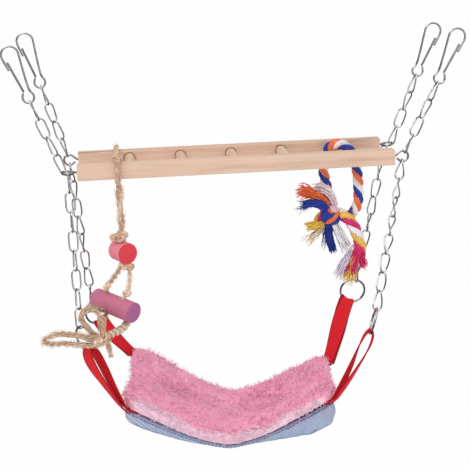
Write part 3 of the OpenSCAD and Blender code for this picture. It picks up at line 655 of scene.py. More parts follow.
def make_twine():
    # The hanger: crossed rounds of the front rail, and two rounds of both rails with a small knot
    half = (rail_high.y - rail_low.y) / 2 / MM
    for name, middles, wide, pitch, fuzz, seed, turns, cad in (
        ("twine_loop", (RAIL_Y, RAIL_Y), 0.0024, 0.007, 1.2, 3,
         [(-84.6, -80.6, 1.6, 0), (-80.8, -84.4, 2.3, 2), (-82.8, -82.2, 2.9, 3)], ["twine_hanger"]),
        ("twine_round", (-RAIL_Y, RAIL_Y), 0.0021, 0.0066, 1.0, 13,
         [(-83.6, -81.4, 1.5, 0), (-81.6, -83.4, 2.1, 2)], []),
    ):
        skin = Skin()
        for x_from, x_to, gap, tone in turns:
            route = at(rail_round(x_from, x_to, middles, gap, half))
            tints = [JUTE[tone], JUTE[(tone + 1) % 4]]
            twisted(skin, route, wide, tints, pitch, fuzz=fuzz, seed=seed + tone)
        if name == "twine_round":
            knotted(skin, place((-82.2, -17.5, 7.6)), 0.0044, 0.0011, JUTE[1], 0.9)
        shown(skin.object(name, TWINE), "ladder", "jute_twine", *cad)

    # The drop: two strands laid together, closer inside the red bead, with knots above and below the bead
    skin, loose = Skin(), Skin()
    path = even(at(DROP_ROUTE), 0.001)
    gone = travelled(path)
    inside = np.interp(gone, BEAD_START, [1, CLOSER])
    for k in (0, 1):
        line = beside(path, math.pi * k + 2 * math.pi * gone / DROP_PITCH, DROP_APART * inside[:, None])
        twisted(
            skin, line[::3], 0.0029, [JUTE[k], JUTE[k + 2]], 0.0086, fuzz=2.4, seed=5 + k, reach=1.7,
            hairs=loose,
        )
    drop = shown(skin.object("twine_strands", TWINE), "twine_toy", "jute_twine", "twine_drop")
    for middle, radius, strand, tone, turn in (
        ((-83.8, -26, -46.4), 0.0052, 0.0014, 3, 0.6),
        ((-81.4, -27, -45.4), 0.0042, 0.0013, 1, 2.6),
        ((-88.4, -27.4, -46.6), 0.0031, 0.0011, 1, 1.7),
        ((-81.6, -26.5, -67), 0.0042, 0.0013, 0, 0.4),
        ((-77.8, -27.5, -67), 0.004, 0.0013, 3, 1.4),
    ):
        knotted(loose, place(middle), radius, strand, JUTE[tone], turn)
    ties = shown(loose.object("twine_strands_knot", TWINE), "twine_toy", "jute_twine")
    tuple(path[0])
    length_of(path)

    # One strand from the left leg through the purple bead to the bow, one from the right to the tie
    for name, route, seed, cad, knots in (
        ("twine_bow_strand", LEG_LEFT_ROUTE + BOW_ROUTE, 7, ["twine_legs", "twine_bow"],
         [((-94.4, -21.5, -83), 0.0037), ((-99.6, -54, -110.6), 0.0056), ((-102.4, -55.5, -112), 0.0044)]),
        ("twine_tie_strand", LEG_RIGHT_ROUTE + TIE_ROUTE, 8, [],
         [((-80.4, -32.6, -85.4), 0.0037), ((-82.2, -34, -107.4), 0.0034)]),
    ):
        skin, loose = Skin(), Skin()
        path = twisted(
            skin, at(route), TWINE_D * MM, [JUTE[seed % 4], JUTE[(seed + 2) % 4]], 0.0088, fuzz=3.0,
            seed=seed, reach=1.7, hairs=loose,
        )
        made = shown(skin.object(name, TWINE), "twine_toy", "jute_twine", *cad)
        for number, (middle, radius) in enumerate(knots):
            knotted(loose, place(middle), radius, 0.00125, JUTE[number], 1.1 * seed)
        draw = random.Random(seed)
        for route, neck, spread, count in FRINGES[name]:
            for tint in JUTE[:3]:
                lock(loose, draw, route, tint, count, neck, spread, 0.19, 1.3, (0.6, 1.0), 3)
        if name == "twine_tie_strand":
            tie = even(at(TIE_ROUTE[2:]), 0.0003)
            wound = beside(tie, 2 * math.pi * travelled(tie) / WRAP_PITCH, WRAP_R)
            loose.tube(wound, 0.0009, 8, JUTE[2], True, 3, 0.004)
        ties = shown(loose.object(name + "_knots", TWINE), "twine_toy", "jute_twine")
        tuple(path[0])
        length_of(path)


make_twine()

# Rope toy
ORANGE, BLUE, WHITE, MAGENTA = dyes("FF7F50 3A4EAC FFFAFE E8407A")
YELLOW, NAVY, LILAC, ROSE = dyes("F8CE5E 303E92 EADDF0 F3CFD8")
ROPE_D, TAIL_D = 7.4, 8.8
ROPE_ROUTE = [
    (76, -3, -46), (81, -4, -46), (86, -6, -41), (88, -8, -33), (88, -8, -22), (87, -8, -11),
    (84, -8, -1), (80, -8, 5), (74, -8, 8), (68, -8, 6), (65, -8, 0), (63, -8, -8), (64, -8, -17),
    (66, -8, -26), (67, -8, -32), (67, -8, -36),
]
SHORT_ROUTE = [
    (60, -1, -50), (62.5, -6, -45), (68, -8, -42), (75, -9.5, -43), (80, -11, -46.5), (84, -12, -52.5),
    (87, -11.5, -60), (88.8, -10, -67), (89, -9.5, -71),
]
KNOT = np.array((67.6, -8.4, -43.4))


def make_ropes():
    for name, route, tints, cad, far, wide, pitch, phase in (
        ("rope_loop", ROPE_ROUTE, [ORANGE, BLUE, WHITE], "cotton_rope", "knot", ROPE_D, 0.0185, -2.7),
        ("rope_tail", SHORT_ROUTE, [YELLOW, MAGENTA, WHITE], "short_rope", "bare", TAIL_D, 0.023, 2.5),
    ):
        skin = Skin()
        path = twisted(
            skin, at(route), wide * MM, tints, pitch, step=0.001, sides=24, phase=phase, fuzz=1.6, seed=11,
            lobes=6, reach=1.0,
        )
        made = shown(skin.object(name, COTTON), "rope_toy", "cotton_yarn", cad)
        tuple(path[0])
        length_of(path)


make_ropes()


# The knot's core: its radius and lumps in millimetres. Yarns to a bundle and their pitch in metres
CORE_R, CORE_LUMPS = 6.3, 0.8
BUNDLE, BUNDLE_PITCH = 5, 0.0045


def make_knot():
    """Bundles of yarn laid over a lumpy core, each between two directions by way of a third."""
    skin = Skin()
    rows = np.zeros((14, 22, 3))
    for i, v in enumerate(np.linspace(0.05, math.pi - 0.05, 14)):
        for k in range(22):
            u = 2 * math.pi * k / 22
            way = Vector((math.sin(v) * math.cos(u), math.sin(v) * math.sin(u), math.cos(v)))
            p = Vector(KNOT) + way * (CORE_R + CORE_LUMPS * noise.noise(way * 2.4))
            rows[i, k] = place(p)
    # The core is a darker blue than the yarn: painted shade in the gaps between the bundles
    skin.grid(rows, BLUE * 0.7, rows)
    laid = [
        (BLUE, 6.0, 2.9,
         [(-0.2, -0.3, 0.95), (-0.75, -0.65, 0.45), (-0.85, -0.6, -0.2), (-0.45, -0.5, -0.8)]),
        (BLUE, 5.6, 2.7, [(-0.95, -0.1, 0.3), (-0.35, -0.95, 0.15), (0.35, -0.9, 0.1), (0.9, -0.3, 0.1)]),
        (ORANGE, 7.0, 1.9,
         [(-0.62, -0.6, -0.75), (-0.15, -0.95, -0.4), (0.4, -0.9, 0.15), (0.8, -0.35, 0.62)]),
        (ROSE, 6.6, 2.6, [(-0.1, -0.35, 1.0), (0.3, -0.75, 0.75), (0.75, -0.5, 0.5)]),
        (ORANGE, 6.4, 1.8, [(-0.5, -0.2, 0.9), (-0.15, -0.85, 0.62), (0.1, -0.95, 0.25)]),
        (WHITE, 6.2, 2.2, [(0.1, 0.1, 1), (0.5, -0.5, 0.8), (0.95, -0.3, 0.1)]),
        (BLUE, 6.0, 2.8, [(0.85, -0.45, -0.1), (0.3, -0.8, -0.6), (-0.35, -0.55, -0.8)]),
        (ORANGE, 6.2, 2.2, [(-0.2, -0.1, 0.95), (-0.8, 0.1, 0.6), (-0.85, 0.5, 0.1)]),
        (WHITE, 6.2, 2.5, [(-0.9, 0.2, -0.4), (-0.2, 0.9, -0.1), (0.7, 0.6, 0.3)]),
        (ORANGE, 6.2, 2.5, [(-0.6, 0.3, 0.8), (0.2, 0.9, 0.4), (0.9, 0.5, -0.4)]),
        (BLUE, 6.2, 2.5, [(-0.7, 0.5, -0.7), (0.1, 0.7, -0.7), (0.8, 0.1, -0.7)]),
    ]
    for tint, far, thick, ways in laid:
        curve = even(ways, 0.05)
        curve /= np.linalg.norm(curve, axis=1)[:, None]
        line = even([place(Vector(c * far + KNOT)) for c in curve], 0.0007)
        ends = np.sin(np.linspace(0.4, math.pi - 0.4, len(line))) ** 0.5
        gone = np.linspace(0, length_of(line), len(line))
        away = thick * 0.55 * MM * ends
        for k in range(BUNDLE):
            strand = beside(line, 2 * math.pi * k / BUNDLE + gone / BUNDLE_PITCH, away[:, None])
            skin.tube(strand, ends * thick * 0.5 * MM, 10, tint * (0.92 + 0.05 * k), True, 3, 0.005)
    return shown(skin.object("rope_wraps", COTTON), "rope_toy", "cotton_yarn", "rope_knot")


make_knot()

# Frayed ends: colour, threads, width at the start and end, thickness, curl, and the route
BRUSHES = {
    ("fray_side", "tassel_side"): [
        (ORANGE, 36, 1.7, 4.3, 0.4, 2.2,
         [(67, -9, -37), (61, -12, -29.5), (53.6, -14, -25), (47, -14, -22.5), (41.5, -14, -21.5)]),
        (ORANGE, 26, 1.6, 3.6, 0.4, 2.0,
         [(65, -9, -37), (56, -13, -29.5), (48.6, -14, -27.5), (41.4, -14, -28.4)]),
        (ROSE, 30, 2.2, 4.2, 0.4, 1.6,
         [(71, -9, -36), (66.9, -12, -27.6), (60.3, -13, -23), (53.2, -13, -22)]),
        (WHITE, 30, 2.2, 4.0, 0.42, 1.8,
         [(71, -9, -36), (67.4, -12, -27), (61.3, -13, -22.4), (54.5, -13, -21.4)]),
        (BLUE, 56, 2.7, 3.0, 0.45, 2.0,
         [(67, -10, -39.5), (58.5, -14, -34), (51.2, -15, -32.8), (45, -15, -36)]),
        (WHITE, 9, 1.4, 3.4, 0.2, 2.4, [(56, -14, -33.5), (49, -15, -35), (40.5, -15, -39.5)]),
        (NAVY, 9, 1.4, 3.0, 0.2, 2.4, [(56, -14, -33), (49, -15, -34), (42, -15, -37.5)]),
    ],
    ("fray_low", "tassel_low"): [
        (NAVY, 46, 2.6, 3.1, 0.45, 1.4,
         [(65.5, -10, -47), (65.2, -13, -54), (66.7, -14, -63), (69, -14, -71)]),
        (NAVY, 6, 1.6, 2.4, 0.22, 1.6, [(63, -10, -48), (61.5, -13, -57), (61.4, -14, -68)]),
        (WHITE, 52, 2.8, 4.6, 0.42, 1.5,
         [(69.6, -10, -47.5), (72.6, -13, -55.5), (76.2, -14, -63.5), (79.4, -14, -71)]),
        (NAVY, 5, 2.0, 4.0, 0.2, 1.4, [(70, -10, -48), (73.5, -14, -58), (76, -15, -70)]),
    ],
    ("fray_yellow", "tassel_yellow"): [
        (YELLOW, 40, 2.2, 3.6, 0.42, 1.6,
         [(64, -9, -49), (57, -13, -50), (51.8, -14, -49.5), (48, -14, -51.4)]),
        (YELLOW * 0.5 + WHITE * 0.5, 22, 1.8, 4.6, 0.26, 2.2,
         [(64, -9, -49.5), (57.6, -13, -54.4), (52.3, -14, -57.5), (47.4, -14, -62.6)]),
        (NAVY * 0.6, 4, 1.2, 3.6, 0.2, 2.2, [(64, -9, -49), (57, -13, -53), (50, -14, -59)]),
    ],
    ("fray_pink", "tassel_pink"): [
        (MAGENTA, 62, 3.2, 5.4, 0.42, 1.8,
         [(88, -9.5, -67), (84.6, -11, -75), (82.4, -12, -81.3), (80.6, -12, -88.5)]),
        (MAGENTA, 30, 2.4, 3.4, 0.4, 2.0,
         [(89, -9.5, -67), (89.2, -11, -75.2), (90.5, -12, -80.3), (92.5, -12, -84)]),
        (LILAC, 46, 2.2, 3.8, 0.38, 1.6,
         [(85.5, -9, -67.5), (79.5, -11, -75), (74.5, -12, -82), (71.1, -12, -91)]),
        (YELLOW, 34, 2.6, 5.2, 0.36, 2.0,
         [(87, -9.5, -70), (82.8, -12, -79.8), (80.8, -13, -88), (77.5, -13, -94.4)]),
    ],
}


def make_brushes():
    draw = random.Random(21)
    for (name, cad), locks in BRUSHES.items():
        skin = Skin()
        for tint, count, neck, spread, thick, curl, route in locks:
            lock(skin, draw, route, tint, count, neck, spread, thick, curl)
        shown(skin.object(name, COTTON), "rope_toy", "cotton_yarn", cad)


make_brushes()

# Hammock
HALF_L, HALF_W, SHIFT = 152.5 / 2, 50, -8
BED_TURN, DROP, DROOP, POWER = math.radians(-6.5), 165, 0.19, 1.43
SAG_FRONT, SAG_BACK = 33, 38
LIFTS = (-0.08, 0.01, 0.07, -0.3)
WEB_W, WEB_T, GAP = 11.5, 1.1, 0.3
RING_R, RING_WIRE = 9.25, 0.75
RING_LEAN, RING_SPREAD = math.radians(18), math.radians(9)
# How far a loop's limbs keep on straight at the ring and at the pocket, and how deep it is tucked in
WAY_OUT, WAY_IN, TUCK = 18, 14, 13
# For each corner: the way its ring faces and its loop's swing along the ring, both in degrees, how far the
# limbs bow apart, the turn in the pocket as a share of a right angle, how far inside the corner the loop
# ends and the share by which it is narrower there
LOOPS = {
    ("left", "front"): (-50, 0, 2.6, 0.22, 5, 0.5),
    ("right", "front"): (80, 0, 2.2, -0.22, 5, 0.5),
    ("left", "rear"): (30, 0, 0.5, -0.1, 3, 0.0),
    ("right", "rear"): (0, 12, 0.5, 0.1, 3, 0.0),
}


def seam_z(x, y):
    """Height of the seam between pad and base over the hammock's own plan."""
    a, b = x / HALF_L, y / HALF_W
    s, t = (a + 1) / 2, (b + 1) / 2
    c = [-DROP + lift * SAG_FRONT for lift in LIFTS]
    rim = (c[0] * (1 - s) + c[1] * s) * (1 - t) + (c[2] * (1 - s) + c[3] * s) * t
    droop = DROOP * SAG_BACK * t * (1 - abs(a) ** 8)
    return rim + droop - (SAG_FRONT * (1 - t) + SAG_BACK * t) * (1 - abs(a) ** POWER)


def to_ladder(x, y, z):
    c, s = math.cos(BED_TURN), math.sin(BED_TURN)
    return Vector((SHIFT + x * c - y * s, x * s + y * c, z))


def unit(v):
    return v.normalized()


def lerp(a, b, t):
    return a + (b - a) * t


def make_strap(side, row):
    """Webbing loop: from its pocket in the hammock, round the ring's lowest wire and back."""
    ring_faces, swings, bow, turn_share, entry, pinch = LOOPS[side, row]
    sx, sy = (-1 if side == "left" else 1), (-1 if row == "front" else 1)
    low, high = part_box(f"ring_{row}_{side}")
    mid = (low + high) / 2
    mid = Vector((mid.x / MM, mid.y / MM, (mid.z - LADDER_Z) / MM))
    # The ring's plane: w points down in it, t lies across it and n stands out of it
    w0 = unit(Vector((-sx * math.tan(RING_LEAN), sy * math.tan(RING_SPREAD), -1)))
    f = math.radians(ring_faces)
    h = Vector((math.cos(f), math.sin(f), 0))
    t0 = unit(h - w0 * h.dot(w0))
    inward = to_ladder(0, 0, 0) - mid
    facing = 1 if t0.cross(w0).dot(Vector((inward.x, inward.y, 0))) > 0 else -1
    swing = math.radians(swings) * (1 if t0.dot(inward) > 0 else -1)
    w = w0 * math.cos(swing) + t0 * math.sin(swing)
    t = (t0 * math.cos(swing) - w0 * math.sin(swing)) * facing
    n = t.cross(w)
    # The pocket: where the webbing enters the hammock's corner, and how it lies there
    diag = unit(Vector((-sx * HALF_L, -sy * HALF_W)))
    turn = math.radians(90 * turn_share)
    c, s = math.cos(turn), math.sin(turn)
    across = Vector((-diag.y * c - diag.x * s, diag.x * c - diag.y * s))
    seen = to_ladder(across.x, across.y, 0) - to_ladder(0, 0, 0)
    lie = across if seen.dot(t) > 0 else -across
    corner = Vector((sx * HALF_L, sy * HALF_W)) + diag * entry

    def down(s):
        """From the ring's middle towards its wire, at a place across the webbing."""
        q = s / RING_R
        return t * math.sin(q) + w * math.cos(q)

    def lay(s, q):
        p = corner + lie * s + diag * q
        return to_ladder(p.x, p.y, seam_z(p.x, p.y) + GAP + WEB_T / 2)

    pocket = lay(0, 0)
    under = unit((lay(1, 0) - pocket).cross(lay(0, 2) - pocket))
    under = -under if under.z > 0 else under
    half_end = (WEB_T + GAP) / 2 + 0.15
    web_gap = RING_WIRE + GAP + WEB_T / 2
    across_end = unit(lay(1, 0) - lay(-1, 0))
    start, end = mid + w * RING_R, pocket + under * half_end
    way_out, way_in = w * WAY_OUT, unit(lay(0, 2) - pocket) * WAY_IN

    def leg(s, g, q):
        """A point of one limb, g = 1 or -1, at a share q of the way down to the pocket."""
        s *= 1 - pinch * max(0, q * 3 - 2)
        middle = (
            start * ((1 + 2 * q) * (1 - q) ** 2) + way_out * (q * (1 - q) ** 2)
            + end * (q * q * (3 - 2 * q)) + way_in * (q * q * (q - 1))
        )
        way = (end - start) * (6 * q * (1 - q)) + way_out * ((1 - q) * (1 - 3 * q))
        way += way_in * (q * (3 * q - 2))
        turned = min(1, 1.3 * q)
        wide = unit(lerp(t, across_end, turned * turned * (3 - 2 * turned)))
        flat = lerp((down(s) - w) * RING_R, wide * s, min(1, q * 4))
        flat = lerp(flat, lay(s, 0) - pocket, max(0, q * 4 - 3))
        half = lerp(web_gap, half_end, min(1, 2 * q)) + bow * math.sin(math.pi * q**0.5) ** 2
        return middle + flat + unit(wide.cross(unit(way))) * (g * half)

    columns = [WEB_W * (k / 8 - 0.5) for k in range(9)]
    rows = [[lay(s * (1 - pinch), q) for s in columns] for q in np.linspace(TUCK, TUCK / 6, 8)]
    rows += [[leg(s, 1, q) for s in columns] for q in np.linspace(1, 1 / 20, 20)]
    for b in np.linspace(0, math.pi, 13):
        turned = [(n * math.cos(b) - down(s) * math.sin(b)) * web_gap for s in columns]
        rows.append([mid + down(s) * RING_R + out for s, out in zip(columns, turned)])
    rows += [[leg(s, -1, q) for s in columns] for q in np.linspace(1 / 20, 0.9, 18)]
    sheet = np.array([[place(p) for p in line] for line in rows])
    out = np.cross(np.gradient(sheet, axis=0), np.gradient(sheet, axis=1))
    out /= np.linalg.norm(out, axis=2)[..., None]
    share = np.array(columns) / (WEB_W / 2)
    half_t = WEB_T / 2 * MM * (1 - 0.55 * np.abs(share) ** 6)
    ribbed = 1 + 0.06 * np.cos(np.arange(len(rows)) * 1.7)[:, None]
    thick = half_t[None, :] * ribbed
    outer, inner = sheet + out * thick[..., None], sheet - out * thick[..., None]
    loop = np.concatenate([outer, inner[:, ::-1]], axis=1)
    flow = np.zeros((*loop.shape[:2], 3))
    flow[..., 0] = travelled(sheet[:, 4])[:, None]
    flow[..., 1] = np.array([*columns, *columns[::-1]]) * MM
    skin = Skin()
    skin.grid(loop, (1, 1, 1), flow)
    name = f"strap_{row}_{side}"
    return shown(skin.object(name + "_webbing", WEBBING), "hammock", "red_webbing", name)


for side, row in CORNERS:
    make_strap(side, row)


def vectors(mesh, kind):
    """The places (co) or the normals of a mesh's points."""
    return np.array([getattr(v, kind)[:] for v in mesh.vertices])


def reshape(mesh, points):
    mesh.vertices.foreach_set("co", points.ravel())
    mesh.update()


def soft_copy(node, inset, ripple):
    """A CAD soft solid as a fine smooth mesh, drawn in on all but its underside, then rippled."""
    source = nodes[node].data
    mesh = bpy.data.meshes.new(node + "_source")
    mesh.from_pydata([v.co[:] for v in source.vertices], [], [p.vertices[:] for p in source.polygons])
    made = bpy.data.objects.new(node + "_source", mesh)
    scene.collection.objects.link(made)
    rounded(made, 3)
    depsgraph = bpy.context.evaluated_depsgraph_get()
    final = bpy.data.meshes.new_from_object(made.evaluated_get(depsgraph))
    bpy.data.objects.remove(made)
    final.name = node + "_soft"
    points, normals = vectors(final, "co"), vectors(final, "normal")
    moved = points - normals * np.where(normals[:, 2] > -0.3, inset, 0.0)[:, None]
    moved += normals * np.array([ripple(p, n[2]) for p, n in zip(points, normals)])[:, None]
    reshape(final, moved)
    return final, points, normals


def to_plan(p):
    """Shares of the hammock's half length and half width at a point of the frame."""
    x, y = p[0] / MM - SHIFT, p[1] / MM
    c, s = math.cos(-BED_TURN), math.sin(-BED_TURN)
    return (x * c - y * s) / HALF_L, (x * s + y * c) / HALF_W


PINK = dyes("FFC4DA FFBCD4 FFCEE0 FFB6D0")
PALE_PINK = dyes("FFDCEA FFE8F2 FFD6E6 FFF0F7")
# Where the long pile ends at the front: share of the half length, share of the half width
PILE_EDGE = [
    (-1, -0.97), (-0.9, -0.936), (-0.74, -0.81), (-0.59, -0.795), (-0.47, -0.857), (-0.36, -0.935),
    (-0.28, -0.94), (-0.19, -0.886), (0.12, -0.885), (0.28, -0.94), (0.53, -0.925), (0.78, -0.955),
    (1, -0.97),
]


def pile_share(points, normals):
    """1 where the long pile grows, 0 on the short curled fleece of the front edge and low on the sides."""
    plan = np.array([to_plan(p) for p in points])
    edge = np.interp(plan[:, 0], *zip(*PILE_EDGE))
    front = np.clip((plan[:, 1] - edge) / 0.012, 0, 1)
    return front * np.clip((normals[:, 2] + 0.25) / 0.3, 0, 1)


# How far the pad is drawn in and its pile's skin stands out again, in metres
PAD_IN, PAD_OUT = 0.0012, 0.0009


def make_pad():
    def ripple(p, up):
        if up < -0.3:
            return 0.0
        v = Vector(p)
        soft = 0.0012 * noise.noise(v * 55) + 0.0005 * noise.noise(v * 190) + 0.0003 * noise.noise(v * 420)
        curls = 0.0005 * abs(noise.noise(v * 420)) if up < 0.55 else 0.0
        return soft + curls + PAD_OUT

    mesh, points, normals = soft_copy("plush_pad", PAD_IN, ripple)
    # The corners are rounded in plan
    centre = np.array(place((SHIFT, 0, 0)))
    moved = vectors(mesh, "co")
    plan = np.abs([to_plan(p) for p in moved])
    over = np.maximum(1, (plan[:, 0] ** 9 + plan[:, 1] ** 9) ** (1 / 9))
    moved[:, :2] = centre[:2] + (moved[:, :2] - centre[:2]) / over[:, None]
    reshape(mesh, moved)
    share = pile_share(moved, normals)[:, None]
    tints = share * PINK[3] + (1 - share) * PALE_PINK[0]
    pad = finish_mesh(mesh, "plush_body", PLUSH, tints, points)
    shown(pad, "hammock", "pink_plush", "plush_pad")
    return pad


def scatter(pad, dice, per_mm2, wanted):
    """Points spread evenly over the pad, kept where wanted(points, normals) is more than a throw."""
    mesh = pad.data
    mesh.calc_loop_triangles()
    corners = np.array([t.vertices[:] for t in mesh.loop_triangles])
    points, normals = vectors(mesh, "co"), vectors(mesh, "normal")
    a, b, c = (points[corners[:, k]] for k in range(3))
    area = np.linalg.norm(np.cross(b - a, c - a), axis=1) / 2
    up = normals[corners].mean(1)
    area = np.where(up[:, 2] > -0.35, area, 0)
    count = int(area.sum() / MM**2 * per_mm2)
    which = dice.choice(len(area), count, p=area / area.sum())
    u, v = dice.random(count), dice.random(count)
    flip = u + v > 1
    u[flip], v[flip] = 1 - u[flip], 1 - v[flip]
    roots = a[which] + (b - a)[which] * u[:, None] + (c - a)[which] * v[:, None]
    n = up[which] / np.linalg.norm(up[which], axis=1)[:, None]
    kept = wanted(roots, n) > dice.random(count)
    return roots[kept], n[kept]


def field(points, scale, shift=0.0):
    """A smooth vector field."""
    moves = [Vector((k * 9.7 + shift, k, 0)) for k in range(3)]
    return np.array([[noise.noise(Vector(p) * scale + move) for move in moves] for p in points])


def hairs(name, rings, tones, light):
    """Three-sided tapered hairs: rings of (middles, radii), the last one a point each."""
    count = len(rings[0][0])
    way = rings[-1][0] - rings[0][0]
    across = np.cross(way, np.array([0.3, 0.2, 0.93]) + 1e-6)
    across /= np.linalg.norm(across, axis=1)[:, None]
    other = np.cross(way, across)
    other /= np.linalg.norm(other, axis=1)[:, None]
    sides = [across * math.cos(q) + other * math.sin(q) for q in (2 * math.pi * k / 3 for k in range(3))]
    levels = [middles + side * radii[:, None] for middles, radii in rings[:-1] for side in sides]
    all_points = np.stack([*levels, rings[-1][0]], 1)
    size = all_points.shape[1]
    shape = []
    for low in range(0, size - 4, 3):
        for k in range(3):
            m = (k + 1) % 3
            shape += [[low + k, low + m, low + 3 + m], [low + k, low + 3 + m, low + 3 + k]]
    shape += [[size - 4 + k, size - 4 + (k + 1) % 3, size - 1] for k in range(3)]
    faces = (np.array(shape)[None] + np.arange(count)[:, None, None] * size).reshape(-1, 3)
    mesh = bpy.data.meshes.new(name)
    mesh.from_pydata(all_points.reshape(-1, 3).tolist(), [], faces.tolist())
    # Painted light: each ring's colour is scaled by its share, so the tips of the pile and the tops of the
    # curls come out a little lighter
    shade = np.repeat(light, [3] * (len(rings) - 1) + [1])
    tints = np.clip(tones[:, None] * shade[None, :, None], 0, 1).reshape(-1, 3)
    fur = finish_mesh(mesh, name, PLUSH, tints, all_points.reshape(-1, 3))
    return shown(fur, "hammock", "pink_plush")


# Hairs and curls to a square millimetre, their lengths and half widths in metres, the share of hairs that
# stand, and how far those and the others stand up
PILE_DENSITY, CURL_DENSITY = 0.36, 0.6
PILE_LONG, PILE_WIDE = 0.0056, (0.00016, 0.0003)
CURL_LONG, CURL_WIDE = (0.0009, 0.0015), (0.00018, 0.0003)
STANDING, STANDING_UP, LYING_UP = 0.3, 0.46, 0.15


def make_fur(pad):
    """Long soft pile on the top, lying in gentle swirls, and short curls on the front and the sides."""
    dice = np.random.default_rng(5)
    roots, n = scatter(pad, dice, PILE_DENSITY, lambda p, up: pile_share(p, up) * 1.5)
    count = len(roots)
    plan = np.array([to_plan(p) for p in roots])
    c, s = math.cos(BED_TURN), math.sin(BED_TURN)
    out = np.stack([plan[:, 0] ** 5, plan[:, 1] ** 5, np.zeros(count)], 1)
    out = out @ np.array([[c, s, 0], [-s, c, 0], [0, 0, 1]])
    swirl, tuft = field(roots, 30), field(roots, 240, 3.0)
    lean = swirl * 1.8 + tuft * 0.7 + out * 0.7 + dice.normal(0, 0.2, (count, 3))
    lean -= n * (lean * n).sum(1)[:, None]
    long = PILE_LONG + 0.0012 * tuft[:, 0] + dice.normal(0, 0.0005, count)
    wide = dice.uniform(*PILE_WIDE, count)
    stood = np.where(dice.random(count) < STANDING, STANDING_UP, LYING_UP)
    long *= 1 - 0.35 * np.clip(np.abs(plan).max(1) * 6 - 5, 0, 1)
    mid = roots + n * (long * stood * 0.8)[:, None] + lean * (long * 0.34)[:, None]
    tip = roots + n * (long * stood)[:, None] + lean * (long * 0.9)[:, None]
    pick = dice.integers(0, 4, count)
    cloud = 1 + 0.1 * field(roots, 16, 7.0)[:, :1] + 0.06 * tuft[:, 1:2]
    tone = PINK[pick] * cloud * dice.uniform(0.96, 1.04, (count, 1))
    rings = [(roots - n * 0.0004, wide), (mid, wide * 0.85), (tip, wide)]
    # The last list paints the pile's tips a little lighter: painted light
    hairs("plush_pile", rings, tone * 1.08, [1.0, 1.0, 1.05])

    roots, n = scatter(pad, dice, CURL_DENSITY, lambda p, up: 1 - pile_share(p, up) * 1.5)
    count = len(roots)
    way = dice.normal(0, 1, (count, 3))
    way -= n * (way * n).sum(1)[:, None]
    way /= np.linalg.norm(way, axis=1)[:, None]
    turned = np.cross(n, way)
    size = dice.uniform(*CURL_LONG, count)[:, None]
    wide = dice.uniform(*CURL_WIDE, count)
    rings = [
        (roots - n * 0.0003, wide), (roots + n * size + way * size * 0.4, wide),
        (roots + n * size * 1.5 + way * size * 1.3 + turned * size * 0.3, wide * 0.9),
        (roots + n * size * 0.9 + way * size * 1.7 + turned * size, wide),
    ]
    cloud = 1 + 0.22 * field(roots, 500, 1.0)[:, :1]
    tone = PALE_PINK[dice.integers(0, 4, count)] * cloud * dice.uniform(0.88, 1.06, (count, 1))
    tone *= np.where(dice.random((count, 1)) < 0.06, np.array([0.86, 0.6, 0.7]), 1)
    # The last list paints the curls' tops a little lighter: painted light
    hairs("plush_curls", rings, tone * 1.06, [1.0, 1.0, 1.04, 1.0])


# How much deeper the woven base hangs at its front left, in metres
BASE_SAG = 0.0032


def part(value):
    return min(1.0, max(0.0, value))


def base_flow(p, level):
    """The cloth's own map: across the bed, then down its sides."""
    a, b = to_plan(p)
    return [a * HALF_L * MM, b * HALF_W * MM + (p[2] if level < 0.6 else 0), p[2]]


def make_base():
    def ripple(p, up):
        if up > 0.5:
            return 0.0
        a = to_plan(p)[0]
        v = Vector(p)
        fold = math.sin(9.0 * (a * 0.7 + (p[2] - LADDER_Z) / MM / 26) + 1.2 * noise.noise(v * 12))
        return 0.0006 * noise.noise(v * 40) + 0.0009 * part((a - 0.15) / 0.5) * max(0.0, fold) ** 3

    mesh, points, normals = soft_copy("woven_base", 0.0, ripple)
    for vertex in mesh.vertices:
        a, b = to_plan(vertex.co)
        seam = seam_z(a * HALF_L, b * HALF_W)
        below = part((seam - 1 - (vertex.co.z - LADDER_Z) / MM) / 4)
        vertex.co.z -= BASE_SAG * below * part((-0.2 - a) / 0.5) * part((0.4 - b) / 0.8)
    flows = np.array([base_flow(p, abs(n[2])) for p, n in zip(points, normals)])
    base = finish_mesh(mesh, "base_canvas", CANVAS, np.ones((len(points), 3)), flows)
    shown(base, "hammock", "grey_canvas", "woven_base")


# A stitch's length and the step to the next, how far the sides are drawn in between their corners, and how
# far the thread stands out
STITCH, STITCH_STEP, STITCH_IN, STITCH_OUT = 0.8, 2.6, 0.028, 0.35


def make_stitches():
    """Dark thread along the seam, in short stitches slightly below the edge of the base."""
    skin = Skin()
    thread = dyes("5E5A70")[0]
    corners = [Vector((a * HALF_L, b * HALF_W)) for a, b in ((-1, -1), (1, -1), (1, 1), (-1, 1))]
    for number, start in enumerate(corners):
        end = corners[(number + 1) % 4]
        steps = int((end - start).length / STITCH_STEP)
        for k in range(2, steps - 1):
            ends = []
            for share in (k / steps, k / steps + STITCH / (end - start).length):
                p = start.lerp(end, share)
                pull = 1 - STITCH_IN * (1 - (p.y / HALF_W if number % 2 else p.x / HALF_L) ** 8)
                x, y = (p.x * pull, p.y) if number % 2 else (p.x, p.y * pull)
                ends.append(place(to_ladder(x, y, seam_z(x, y) - 0.9)))
            way = ends[1] - ends[0]
            middle = (ends[0] + ends[1]) / 2
            out = Vector((way.y, -way.x, 0)).normalized() * STITCH_OUT * MM
            skin.tube(even([ends[0], middle + out, ends[1]], 0.0002), 0.00022, 5, thread)
    shown(skin.object("seam_stitches", TWINE), "hammock", "grey_canvas")


make_fur(make_pad())
make_base()
make_stitches()


# Light and stage
# Each lamp's place in metres and its power, and what they point at in millimetres
LAMPS = {"key": ((-0.55, -0.9, 0.8), 4.5), "fill": ((0.9, -0.8, 0.2), 1.2)}
LAMP_SIZE, LAMP_AIM = 0.9, (0, 0, -80)
FLOOR_BELOW, FLOOR_HALF, FLOOR_GLOW = 0.35, 40.0, 0.94


